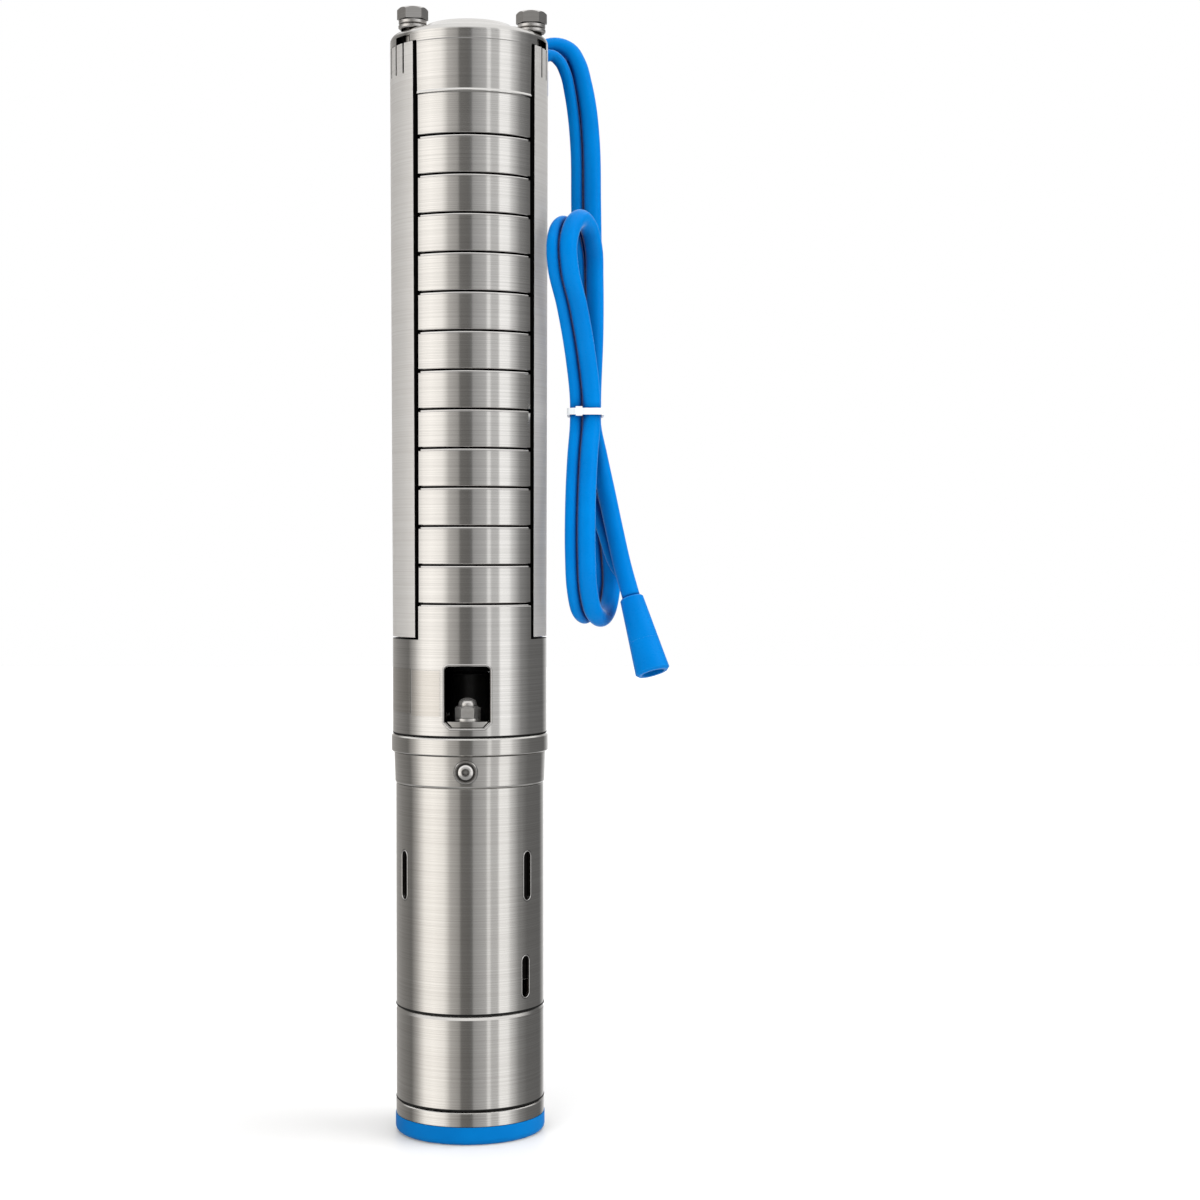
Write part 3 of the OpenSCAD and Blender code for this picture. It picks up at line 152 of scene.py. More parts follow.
def edge_highlight_share(tree, radius):
    """How much a spot lies on an edge, for a painted highlight: the rounded normal is compared with the plain one."""
    rounded = add(tree, "ShaderNodeBevel", {"Radius": radius}, samples=RAYS)
    plain = add(tree, "ShaderNodeNewGeometry", {})
    same = add(tree, "ShaderNodeVectorMath", {0: rounded.outputs["Normal"], 1: plain.outputs["Normal"]},
               operation="DOT_PRODUCT")
    return add(tree, "ShaderNodeMapRange", {
        "Value": same.outputs["Value"], "From Min": EDGE_COSINES[0], "From Max": EDGE_COSINES[1],
        "To Min": 0, "To Max": 1})


def crevice(tree, reach):
    """How open a spot is, for painted shade in hollows: 1 in the open, 0 deep in a corner or seam no wider than the
    reach in metres.
    """
    sky_share = add(tree, "ShaderNodeAmbientOcclusion", {"Distance": reach}, samples=RAYS)
    return add(tree, "ShaderNodeMapRange", {
        "Value": sky_share.outputs["AO"], "From Min": OPEN_SHARES[0], "From Max": OPEN_SHARES[1],
        "To Min": 0, "To Max": 1})


def moulded(name, dark, light, roughness, grain, gloss, highlight_tone, relief=0.04, hollow_shade=None):
    """Moulded or extruded plastic: clouds of colour about 30 mm across, a grain of the given size in
    metres, edges painted a lighter tone as a highlight, and painted shade of a deeper tone in the hollows where asked.
    A real moulding's grain is a tenth of a millimetre or two and is drawn coarser so that it shows."""
    material, tree, shader, place = new_material(name)
    cloud = add(tree, "ShaderNodeTexNoise", {"Vector": place, "Scale": CLOUDS_PER_METRE, "Detail": 3})
    grit = add(tree, "ShaderNodeTexNoise", {"Vector": place, "Scale": 1 / grain, "Detail": 2})
    tone = add(tree, "ShaderNodeValToRGB", {"Fac": cloud.outputs["Fac"]},
               stops=((NOISE_SPAN[0], linear(dark)), (NOISE_SPAN[1], linear(light))))
    # Painted highlight: edges take the lighter highlight tone.
    edge = edge_highlight_share(tree, PLASTIC_HIGHLIGHT_R)
    colour = add(tree, "ShaderNodeMix", {
        0: edge.outputs["Result"], 6: tone.outputs["Color"], 7: linear(highlight_tone)}, data_type="RGBA")
    # Painted shade: hollows take the deeper tone where the AO node finds little open room.
    if hollow_shade:
        open_spot = crevice(tree, HOLLOW_REACH).outputs["Result"]
        colour = add(tree, "ShaderNodeMix", {
            0: open_spot, 6: linear(hollow_shade), 7: colour.outputs[2]}, data_type="RGBA")
    rough = add(tree, "ShaderNodeMapRange", {
        "Value": grit.outputs["Fac"], "From Min": NOISE_SPAN[0], "From Max": NOISE_SPAN[1],
        "To Min": roughness + PLASTIC_SPREAD[0], "To Max": roughness + PLASTIC_SPREAD[1]})
    bump = add(tree, "ShaderNodeBump", {
        "Height": grit.outputs["Fac"], "Strength": relief, "Distance": GRAIN_HEIGHT})
    feed(tree, shader, {
        "Base Color": colour.outputs[2], "Roughness": rough.outputs["Result"],
        "Normal": bump.outputs["Normal"], "IOR": PLASTIC_IOR, "Specular IOR Level": gloss})
    return material


def dress(names, material):
    """Gives CAD nodes a finish."""
    for name in names:
        for slot in nodes[name].material_slots:
            slot.material = material


def smooth_line(points_mm, step):
    """A cubic through the points, whose slope at each one follows its neighbours, read at equal steps."""
    p = np.asarray(points_mm, float) / 1000
    u = np.concatenate([[0], np.cumsum(np.linalg.norm(np.diff(p, axis=0), axis=1))])
    slope = np.gradient(p, u, axis=0)
    fine = np.linspace(0, u[-1], len(p) * ROUTE_SPLITS)
    k = np.clip(np.searchsorted(u, fine, side="right") - 1, 0, len(p) - 2)
    h = (u[k + 1] - u[k])[:, None]
    t = (fine - u[k])[:, None] / h
    line = ((2 * t**3 - 3 * t**2 + 1) * p[k] + (t**3 - 2 * t**2 + t) * h * slope[k]
            + (3 * t**2 - 2 * t**3) * p[k + 1] + (t**3 - t**2) * h * slope[k + 1])
    run = np.concatenate([[0], np.cumsum(np.linalg.norm(np.diff(line, axis=0), axis=1))])
    at = np.linspace(0, run[-1], int(run[-1] / step) + 1)
    return np.stack([np.interp(at, run, line[:, i]) for i in range(3)], axis=1), run[-1]


def tube(line, radius, sides):
    """A circle carried along a line, lying across the line's direction at each point and turned by a level
    diagonal that no run of the cables follows."""
    ahead = np.gradient(line, axis=0)
    ahead /= np.linalg.norm(ahead, axis=1)[:, None]
    across = np.cross(ahead, np.array((1, -1, 0)) / math.sqrt(2))
    across /= np.linalg.norm(across, axis=1)[:, None]
    up = np.cross(across, ahead)
    turn = np.linspace(0, 2 * math.pi, sides, endpoint=False)[None, :, None]
    return line[:, None] + radius * (np.cos(turn) * across[:, None] + np.sin(turn) * up[:, None])


def make_piece(name, grid, material, smooth=True, loop=False, body="pump"):
    """A closed mesh of a grid of points, or of several like grids: each row closes on itself, and the last row
    is joined to the first in a loop, or else both are capped. The piece rides on the body."""
    i = np.arange(grid.size // 3).reshape(-1, *grid.shape[-3:-1])
    if loop:
        i = np.concatenate([i, i[:, :1]], axis=1)
    j = np.roll(i, -1, axis=2)
    sides = np.stack([i[:, :-1], j[:, :-1], j[:, 1:], i[:, 1:]], axis=-1).reshape(-1, 4)
    caps = [] if loop else i[:, [0, -1]].reshape(-1, i.shape[2]).tolist()
    mesh = bpy.data.meshes.new(name)
    mesh.from_pydata(grid.reshape(-1, 3).tolist(), [], sides.tolist() + caps)
    shell = bmesh.new()
    shell.from_mesh(mesh)
    bmesh.ops.recalc_face_normals(shell, faces=shell.faces)
    shell.to_mesh(mesh)
    shell.free()
    mesh.polygons.foreach_set("use_smooth", [smooth] * len(sides) + [False] * len(caps))
    mesh.materials.append(material)
    piece = bpy.data.objects.new(name, mesh)
    bpy.context.scene.collection.objects.link(piece)
    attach(piece, body)
    return piece


# Extruded PVC is even and waxy: saturated blue without visible grain, a soft sheen, painted shade where two runs meet.
sheath = moulded("blue_pvc_sheath", "#0073c2", "#007ccc", roughness=0.3, grain=0.0012, gloss=0.05,
                 highlight_tone="#007cd2", relief=0.004, hollow_shade="#002f78")
power_line, power_length = smooth_line(POWER_ROUTE_MM, CABLE_STEP)
power_cable = make_piece("power_cable_sheath", tube(power_line, CABLE_D / 2, CABLE_SIDES), sheath)
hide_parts("power_cable")
thin_line, thin_length = smooth_line(THIN_ROUTE_MM, CABLE_STEP)
# The web is a flat strip carried along the power cable, from near its centre towards the nearest point of the other
# cable. It fills the groove between the two, painted dark blue as shade, so the eye gets only a matt dark line.
apart = np.linalg.norm(power_line[:, None] - thin_line[None], axis=2)
out_of_step = np.abs(np.linspace(0, 1, len(power_line))[:, None] - np.linspace(0, 1, len(thin_line))[None])
partner = thin_line[np.argmin(np.where(out_of_step < PARTNER_REACH, apart, 1), axis=1)]
web_rows = slice(int(WEB_RUN[0] * len(power_line)), int(WEB_RUN[1] * len(power_line)))
web_side = (partner - power_line)[web_rows]
web_face = np.cross(np.gradient(power_line, axis=0)[web_rows], web_side)
web_face *= WEB_T / 2 / np.linalg.norm(web_face, axis=1)[:, None]
web_corners = [(WEB_SHARE[0], -1), (WEB_SHARE[1], -1), (WEB_SHARE[1], 1), (WEB_SHARE[0], 1)]
web_grid = np.stack([power_line[web_rows] + share * web_side + face * web_face for share, face in web_corners], axis=1)
groove_pvc = moulded("shaded_pvc_web", "#001a4c", "#002258", roughness=0.6, grain=0.004, gloss=0.0,
                     highlight_tone="#002258")
web = make_piece("cable_web", web_grid, groove_pvc)
thin_cable = make_piece("sensor_cable_sheath", tube(thin_line, THIN_D / 2, CABLE_SIDES), sheath)
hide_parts("sensor_cable")

# Cable connector, gland, lead and tie
# The connector is moulded rubber with a socket in its mouth; the gland and the flat motor lead are a like blue
# compound, behind and under the right guard. The tie is white nylon, pulled tight.
# The connector's paler rim is a painted highlight.
dress(["cable_connector"], moulded(  # the cable's blue, a little duller, with a paler rim
    "moulded_blue_rubber", "#0070be", "#0078c8", roughness=0.3, grain=0.0012, gloss=0.06, highlight_tone="#0a84d4",
    relief=0.004))
dress(["cable_gland"], moulded(  # a deeper blue with a satin gloss
    "moulded_gland_rubber", "#0060b8", "#0a6cc8", roughness=0.45, grain=0.0009, gloss=0.3, highlight_tone="#1d7fd6"))
dress(["motor_lead"], moulded(  # the deepest of the blues, satin
    "flat_lead_sheath", "#0058ac", "#0a64ba", roughness=0.4, grain=0.0012, gloss=0.3, highlight_tone="#1d78cc"))
dress(["cable_tie"], moulded(  # milky white with a satin gloss
    "white_nylon", "#dde2e6", "#eef0f1", roughness=0.38, grain=0.0012, gloss=0.5, highlight_tone="#ffffff"))

# Base cap
# Injection-moulded blue polypropylene foot that the pump stands on, with a lip that sits inside the motor's
# bottom ring.
dress(["base_cap"], moulded(  # an even deep blue, satin, hardly any highlight, a paler rim painted as a highlight
    "moulded_blue_polypropylene", "#0067ae", "#006fb8", roughness=0.42, grain=0.0008, gloss=0.04,
    highlight_tone="#0479c2"))

# Motor housing
# Stainless steel tubes and turned rings, brushed around the axis, so the fine lines run level.
# Level lines spread a reflection up and down and leave it narrow from side to side.
BRUSH_LINE = 0.0005
BRUSH_RUN = 0.12
LINE_HEIGHT = 0.0001
LINE_RELIEF = 0.008
GRAIN_TURN = 0.25
STEEL_SPREAD = (-0.025, 0.03)
STAINS_PER_METRE = 20
STEEL_HIGHLIGHT_R = 0.0004
CREVICE = 0.0006
DEEP_CREVICE = 0.0016
# Gaps are painted in shade only up to this height.
GAP_TOP = 0.6975
GAP_FADE = 0.0003
GAP_DULLER = 0.5
# The painted shade of a wall fades in between two shares of how far it faces round the axis, or outwards.
SIDE_WALL = (0.5, 0.8)
LEVEL_WALL = (0.45, 0.25)
# Pale steel painted on edges as a highlight.
PAINTED_EDGE_LIGHT = "#eceae8"
# Near black painted into crevices and seams as shade.
CREVICE_SHADE = "#14120f"
GAP_SHADE = "#0a0908"


def brushed_steel(name, dark, light, roughness, spread, gap_r=None, reach=CREVICE, metal=1.0, level_dark=False):
    """Brushed stainless: level lines in colour and height, stains in gloss, a painted highlight on the edges, and
    painted shade in crevices. The lines are really about 0.1 mm apart and are drawn 0.5 mm apart so that they show.
    With a gap radius, walls inside it and walls that face round the axis are painted in shade, as deep gaps and
    slits are dark; so are level walls where asked."""
    material, tree, shader, place = new_material(name)
    drawn_out = add(tree, "ShaderNodeMapping", {
        "Vector": place, "Scale": (1 / BRUSH_RUN, 1 / BRUSH_RUN, 1 / BRUSH_LINE)})
    lines = add(tree, "ShaderNodeTexNoise", {
        "Vector": drawn_out.outputs["Vector"], "Scale": 1, "Detail": 2}).outputs["Fac"]
    stain = add(tree, "ShaderNodeTexNoise", {"Vector": place, "Scale": STAINS_PER_METRE, "Detail": 3}).outputs["Fac"]
    tone = add(tree, "ShaderNodeValToRGB", {"Fac": lines},
               stops=((NOISE_SPAN[0], linear(dark)), (NOISE_SPAN[1], linear(light)))).outputs["Color"]
    # Painted highlight: edges take the pale steel.
    edge = edge_highlight_share(tree, STEEL_HIGHLIGHT_R).outputs["Result"]
    colour = add(tree, "ShaderNodeMix", {0: edge, 6: tone, 7: linear(PAINTED_EDGE_LIGHT)}, data_type="RGBA").outputs[2]
    # Painted shade: crevices take the near black where the AO node finds little open room.
    open_spot = crevice(tree, reach).outputs["Result"]
    colour = add(tree, "ShaderNodeMix", {0: open_spot, 6: linear(CREVICE_SHADE), 7: colour}, data_type="RGBA").outputs[2]
    rough = add(tree, "ShaderNodeMapRange", {
        "Value": stain, "From Min": NOISE_SPAN[0], "From Max": NOISE_SPAN[1],
        "To Min": roughness + STEEL_SPREAD[0], "To Max": roughness + STEEL_SPREAD[1]}).outputs["Result"]
    if gap_r:
        round_way = add(tree, "ShaderNodeVectorMath", {0: place, 1: (0, 0, 1)}, operation="CROSS_PRODUCT")
        radius = add(tree, "ShaderNodeVectorMath", {0: round_way.outputs["Vector"]}, operation="LENGTH")
        inside = add(tree, "ShaderNodeMapRange", {
            "Value": radius.outputs["Value"], "From Min": gap_r, "From Max": gap_r - GAP_FADE,
            "To Min": 0, "To Max": 1})
        height = add(tree, "ShaderNodeSeparateXYZ", {"Vector": place})
        below = add(tree, "ShaderNodeMath", {0: height.outputs["Z"], 1: GAP_TOP}, operation="LESS_THAN")
        deep = add(tree, "ShaderNodeMath", {0: inside.outputs["Result"], 1: below.outputs["Value"]},
                   operation="MULTIPLY")
        heading = add(tree, "ShaderNodeVectorMath", {0: round_way.outputs["Vector"]}, operation="NORMALIZE")
        face = add(tree, "ShaderNodeNewGeometry", {})
        turned_side = add(tree, "ShaderNodeVectorMath", {
            0: heading.outputs["Vector"], 1: face.outputs["Normal"]}, operation="DOT_PRODUCT")
        sideways = add(tree, "ShaderNodeMath", {0: turned_side.outputs["Value"]}, operation="ABSOLUTE")
        side_wall = add(tree, "ShaderNodeMapRange", {
            "Value": sideways.outputs["Value"], "From Min": SIDE_WALL[0], "From Max": SIDE_WALL[1],
            "To Min": 0, "To Max": 1})
        hidden = add(tree, "ShaderNodeMath", {0: deep.outputs["Value"], 1: side_wall.outputs["Result"]},
                     operation="MAXIMUM").outputs["Value"]
        if level_dark:
            outwards = add(tree, "ShaderNodeVectorMath", {0: (0, 0, 1), 1: heading.outputs["Vector"]},
                           operation="CROSS_PRODUCT")
            facing = add(tree, "ShaderNodeVectorMath", {
                0: outwards.outputs["Vector"], 1: face.outputs["Normal"]}, operation="DOT_PRODUCT")
            open_face = add(tree, "ShaderNodeMath", {0: facing.outputs["Value"]}, operation="ABSOLUTE")
            level_wall = add(tree, "ShaderNodeMapRange", {
                "Value": open_face.outputs["Value"], "From Min": LEVEL_WALL[0], "From Max": LEVEL_WALL[1],
                "To Min": 0, "To Max": 1})
            hidden = add(tree, "ShaderNodeMath", {0: hidden, 1: level_wall.outputs["Result"]},
                         operation="MAXIMUM").outputs["Value"]
        # Painted shade: gap walls, side walls and, where asked, level walls take the near black.
        colour = add(tree, "ShaderNodeMix", {0: hidden, 6: colour, 7: linear(GAP_SHADE)},
                     data_type="RGBA").outputs[2]
        rough = add(tree, "ShaderNodeMath", {0: hidden, 1: GAP_DULLER, 2: rough},
                    operation="MULTIPLY_ADD").outputs["Value"]
    bump = add(tree, "ShaderNodeBump", {"Height": lines, "Strength": LINE_RELIEF, "Distance": LINE_HEIGHT})
    feed(tree, shader, {
        "Base Color": colour, "Metallic": metal, "Roughness": rough, "Normal": bump.outputs["Normal"],
        "Anisotropic": spread, "Anisotropic Rotation": GRAIN_TURN})
    return material


# Brushed stainless gives upright bands of light and dark with a fine level grain, edges painted bright as a
# highlight and joints painted dark as shade.
dress(["motor_shell", "lower_housing", "bottom_ring", "upper_end_bell"],
      brushed_steel("brushed_stainless_motor", "#c6c3bf", "#d4d2ce", roughness=0.15, spread=0.9))

# Motor flange, filling plug and the plate that takes the motor studs
# Turned stainless steel. The plug is screwed into the end bell from the front; nuts on the motor studs clamp the
# plate, inside the casing, down on the flange.
dress(["motor_flange", "suction_floor"], brushed_steel(  # the upright bands of the motor housing
    "turned_stainless_flange", "#c6c3bf", "#d4d2ce", roughness=0.15, spread=0.9))
bright_steel = brushed_steel(  # small sharp highlights on a pale face
    "bright_turned_stainless", "#cdcac7", "#dfdddb", roughness=0.15, spread=0.0)
dress(["filling_plug", "plug_seat_ring", "motor_studs"], brushed_steel(  # the same, with painted shade round the head
    "turned_stainless_plug", "#cdcac7", "#dfdddb", roughness=0.18, spread=0.0, reach=DEEP_CREVICE))
dress(["stud_nuts", "stud_washers"], brushed_steel(  # pale grey with soft highlights
    "blasted_stainless_nut", "#c2bfbb", "#d2d0cd", roughness=0.25, spread=0.0, reach=DEEP_CREVICE, metal=0.8))

# Joint seals
# Black nitrile rings squeezed between the motor flange and the casing above it, and in the two joints of the motor
# housing. Only a thin line of each shows: a dark piece in each joint that draws its shade, as painted shade.
SEAL_R = 0.0007
SEAL_RISE = 0.0008
SEAL_SIDES = 12
SEAL_STEPS = 160
# Each row gives a seal's name, the height of its joint and the radius of its middle.
SEALS = [("flange_seal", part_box("motor_flange")[1][2], 0.0489),
         ("shell_seal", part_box("motor_shell")[0][2], 0.0471),
         ("ring_seal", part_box("lower_housing")[0][2], 0.0471)]


def ring_bead(centre_r, height, bead_r, steps, sides):
    """A circle of the bead's radius, carried round the axis at the centre radius and height."""
    turn = np.linspace(0, 2 * math.pi, steps, endpoint=False)[:, None]
    around_bead = np.linspace(0, 2 * math.pi, sides, endpoint=False)[None]
    radius = centre_r + bead_r * np.cos(around_bead)
    return np.stack([radius * np.sin(turn), -radius * np.cos(turn),
                     height + bead_r * np.sin(around_bead) + 0 * turn], axis=-1)


seal_rubber = moulded(  # a dull black that hardly takes a highlight
    "moulded_black_nitrile", "#0b0b0b", "#121211", roughness=0.6, grain=0.0006, gloss=0.2, highlight_tone="#141413")
for seal_name, joint_z, centre_r in SEALS:
    make_piece(seal_name, ring_bead(centre_r, joint_z + SEAL_RISE, SEAL_R, SEAL_STEPS, SEAL_SIDES),
               seal_rubber, loop=True)

# Suction casing, stage chambers and discharge casing
# Drawn stainless shells, brushed around the axis, stacked on each other and held together by the straps.
# The walls in the seams and beside the guards are painted black as shade, so that the panels stand out.
GAP_R = 0.0477
WIDE_GAP_R = 0.0488
CHAMBERS = ["stage_chamber_%02d" % k for k in range(1, 13)]
# The black of the seams is painted shade.
dress(CHAMBERS + ["suction_casing"], brushed_steel(  # the motor's bands, a little brighter, and black seams
    "brushed_stainless_casing", "#c9c7c4", "#d9d7d4", roughness=0.14, spread=0.9, gap_r=GAP_R, level_dark=True))
dress(["discharge_casing"], brushed_steel(  # the same, with its level faces left bright
    "brushed_stainless_top_casing", "#c9c7c4", "#d9d7d4", roughness=0.14, spread=0.9, gap_r=WIDE_GAP_R))

# Lips of the stage panels
# The top edge of each panel is rolled over to a round lip of bright steel below the dark seam, one in front and two
# behind. It catches the light as a thin white line.
LIP_R = 0.0009
LIP_CENTRE_R = 0.0483
LIP_DROP = 0.0008
LIP_SIDES = 12
LIP_ROWS = 48
PUMP_TURN = 8.5
PANEL_ANGLE = 92
GROOVE_ANGLE = 18.5
LIP_END = 0.7
# A circle carried round the axis over each panel's angle, once for every casing's top.
rear_angle = (PANEL_ANGLE - GROOVE_ANGLE) / 2
rear_aside = (rear_angle + GROOVE_ANGLE) / 2
lip_spans = np.array([(0, PANEL_ANGLE), (180 - rear_aside, rear_angle), (180 + rear_aside, rear_angle)])
lip_tops = np.array([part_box(name)[1][2] for name in ["suction_casing"] + CHAMBERS])
lip_share = np.linspace(-0.5, 0.5, LIP_ROWS)
lip_turn = np.radians(PUMP_TURN + lip_spans[:, :1] + (lip_spans[:, 1:] - 2 * LIP_END) * lip_share)[None, :, :, None]
lip_around = np.linspace(0, 2 * math.pi, LIP_SIDES, endpoint=False)
lip_radius = LIP_CENTRE_R + LIP_R * np.cos(lip_around)
lip_height = lip_tops[:, None, None, None] - LIP_DROP + LIP_R * np.sin(lip_around)
lip_grid = np.stack(np.broadcast_arrays(
    lip_radius * np.sin(lip_turn), -lip_radius * np.cos(lip_turn), lip_height), axis=-1)
make_piece("panel_lips", lip_grid.reshape(-1, LIP_ROWS, LIP_SIDES, 3), bright_steel)

# Rolled edges of the front inlet window and of the motor shell's slots
# The sheet is turned over to a bright bead around each opening. The window has straight sides, round corners above
# and cut ones below; a slot has two round ends.
WINDOW_TURN = 1.2
WINDOW_FOOT = 0.2628
WINDOW_HALF = 0.0143
WINDOW_H = 0.0386
WINDOW_ROUND = 0.003
WINDOW_CUT = 0.0042
WINDOW_EDGE = 0.0009
WINDOW_BEAD_R = 0.00055
SUCTION_R = 0.0495
SHELL_R = 0.0475
SLOT_HALF = 0.0035
SLOT_BEAD_R = 0.0004
EDGE_STEP = 0.0008
EDGE_SIDES = 10
EDGE_SINK = 0.3
CORNER_POINTS = 10
SLOT_POINTS = 48
# Each row of slots has its angles from the front, its middle's height in the shell and a slot's length.
UPPER_SLOTS = ("upper", (-58, 53, 177), 0.0861, 0.031)
LOWER_SLOTS = ("lower", (51, 231), 0.0222, 0.0265)


def rolled_edge(outline, turn, foot, skin_r, bead_r):
    """A bead carried along a closed outline that is drawn flat, wrapped round a skin of that radius with the
    outline's middle at an angle from the front, and sunk by a share of its radius into the skin."""
    closed = np.concatenate([outline, outline[:1]])
    run = np.concatenate([[0], np.cumsum(np.linalg.norm(np.diff(closed, axis=0), axis=1))])
    at = np.linspace(0, run[-1], int(run[-1] / EDGE_STEP), endpoint=False)
    flat = np.stack([np.interp(at, run, closed[:, i]) for i in range(2)], axis=1)
    ahead = np.roll(flat, -1, axis=0) - np.roll(flat, 1, axis=0)
    ahead /= np.linalg.norm(ahead, axis=1)[:, None]
    around_bead = np.linspace(0, 2 * math.pi, EDGE_SIDES, endpoint=False)
    outwards = np.stack([ahead[:, 1], -ahead[:, 0]], axis=1)[:, None]
    plane = flat[:, None] + bead_r * outwards * np.cos(around_bead)[None, :, None]
    depth = skin_r - EDGE_SINK * bead_r + bead_r * np.sin(around_bead)[None] + 0 * plane[..., 0]
    angle = math.radians(turn) + np.arcsin(plane[..., 0] / skin_r)
    return np.stack([depth * np.sin(angle), -depth * np.cos(angle), foot + plane[..., 1]], axis=-1)


edge_half = WINDOW_HALF + WINDOW_EDGE
edge_top = WINDOW_H + WINDOW_EDGE
edge_corner = WINDOW_ROUND + WINDOW_EDGE
corner_turn = np.linspace(0, math.pi / 2, CORNER_POINTS)
right_corner = np.stack([edge_half - edge_corner + edge_corner * np.cos(corner_turn),
                         edge_top - edge_corner + edge_corner * np.sin(corner_turn)], axis=1)
right_foot = np.array([(edge_half - WINDOW_CUT, -WINDOW_EDGE), (edge_half, WINDOW_CUT - WINDOW_EDGE)])
window_outline = np.concatenate([
    right_foot, right_corner, right_corner[::-1] * (-1, 1), right_foot[::-1] * (-1, 1)])
make_piece("window_edge", rolled_edge(window_outline, WINDOW_TURN, WINDOW_FOOT, SUCTION_R, WINDOW_BEAD_R),
           bright_steel, loop=True)
slot_turn = np.linspace(0, 2 * math.pi, SLOT_POINTS, endpoint=False)
slot_r = SLOT_HALF + SLOT_BEAD_R / 2
for row, slot_turns, lift, slot_h in (UPPER_SLOTS, LOWER_SLOTS):
    slot_outline = np.stack([
        slot_r * np.cos(slot_turn),
        slot_r * np.sin(slot_turn) + (slot_h / 2 - SLOT_HALF) * np.where(np.sin(slot_turn) >= 0, 1, -1)], axis=1)
    for index, turn in enumerate(slot_turns):
        make_piece("%s_slot_edge_%d" % (row, index + 1),
                   rolled_edge(slot_outline, turn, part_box("motor_shell")[0][2] + lift, SHELL_R, SLOT_BEAD_R),
                   bright_steel, loop=True)

# Plain plates
# Thin stainless foil, wrapped round the suction casing to the left of the inlet window and bonded on. A second
# strip follows it towards the side.
PLATE_T = 0.0002
PLATE_STEPS = 40
# Each plate has its left and right angle from the front and the heights of its lower and upper edge.
PLATE_SPANS = [("rating_plate", -44.3, -19.0, 0.2697, 0.2986), ("side_plate", -77.0, -46.2, 0.2712, 0.2992)]
plate_steel = brushed_steel(  # a little warmer and duller than the casing
    "rating_plate_foil", "#c3bfb9", "#d0ccc7", roughness=0.17, spread=0.9)
for plate_name, left, right, low, high in PLATE_SPANS:
    # A thin rectangle carried round the axis between two angles.
    plate_turn = np.radians(np.linspace(left, right, PLATE_STEPS))[:, None]
    section_r = np.array([SUCTION_R, SUCTION_R + PLATE_T, SUCTION_R + PLATE_T, SUCTION_R])[None]
    section_z = np.array([low, low, high, high])[None] + 0 * plate_turn
    plate_grid = np.stack([section_r * np.sin(plate_turn), -section_r * np.cos(plate_turn), section_z], axis=-1)
    make_piece(plate_name, plate_grid, plate_steel, smooth=False)

# Outlet thread
# Pipe thread cut into the outlet's bore, a sharp ridge of bright steel that winds up the wall.
# It is a triangle carried round the axis while it climbs one pitch a turn.
THREAD_R = 0.02245
THREAD_DEPTH = 0.0009
THREAD_PITCH = 0.0023
THREAD_Z = (0.6885, 0.7075)
THREAD_STEPS = 420
THREAD_SHARES = [0.05, 0.5, 0.95]
thread_turns = (THREAD_Z[1] - THREAD_Z[0] - THREAD_PITCH) / THREAD_PITCH
thread_turn = np.linspace(0, 2 * math.pi * thread_turns, THREAD_STEPS)[:, None]
thread_r = THREAD_R - THREAD_DEPTH * np.array([0, 1, 0])[None] + 0 * thread_turn
thread_z = (THREAD_Z[0] + THREAD_PITCH * thread_turn / (2 * math.pi)
            + THREAD_PITCH * np.array(THREAD_SHARES)[None])
thread_grid = np.stack([thread_r * np.cos(thread_turn), thread_r * np.sin(thread_turn), thread_z], axis=-1)
make_piece("outlet_thread", thread_grid, bright_steel, smooth=False)

# Straps, nuts and washers
# Three pressed stainless straps, hooked in at the foot, hold the stack together; nuts on two washers each draw them
# up at the rim.
dress(["tie_straps"], brushed_steel(  # an even mid grey, satin
    "satin_stainless_strap", "#918e8a", "#a3a09c", roughness=0.36, spread=0.3))
dress(["strap_nuts", "spring_washers", "flat_washers"], brushed_steel(  # soft grey faces with edges painted bright as a highlight
    "tumbled_stainless_fastener", "#c4c1be", "#d4d2cf", roughness=0.3, spread=0.0, reach=DEEP_CREVICE))

# Cable guards
# Bent stainless sheet with folded edges, set between the ledge and the rim over the straps and the motor lead.
# It has a fine ground finish.
# The guards' walls that face round the axis, at the slits and edges, are painted in shade.
dress(["cable_guard_left", "cable_guard_right"], brushed_steel(  # pale, nearly matt, duller than the casings
    "ground_stainless_guard", "#dedbd7", "#e9e7e4", roughness=0.55, spread=0.3, gap_r=WIDE_GAP_R, metal=0.7))

# Sand shield
# A ring of black nitrile rubber, pushed onto the coupling's upper end, that throws sand away from the first stage.
# It turns with the rotor. It is a bevelled rectangle carried round the axis.
SHIELD_R = 0.0165
SHIELD_BORE = 0.0128
SHIELD_Z = (0.2962, 0.3026)
SHIELD_BEVEL = 0.0012
SHIELD_STEPS = 72
shield_turn = np.linspace(0, 2 * math.pi, SHIELD_STEPS, endpoint=False)[:, None]
shield_r = np.array([SHIELD_BORE, SHIELD_R - SHIELD_BEVEL, SHIELD_R, SHIELD_R, SHIELD_R - SHIELD_BEVEL, SHIELD_BORE])
shield_z = np.array([SHIELD_Z[0], SHIELD_Z[0], SHIELD_Z[0] + SHIELD_BEVEL, SHIELD_Z[1] - SHIELD_BEVEL, SHIELD_Z[1],
                     SHIELD_Z[1]])[None] + 0 * shield_turn
shield_grid = np.stack([shield_r * np.sin(shield_turn), -shield_r * np.cos(shield_turn), shield_z], axis=-1)
make_piece("sand_shield", shield_grid, seal_rubber, smooth=False, loop=True, body="rotor")

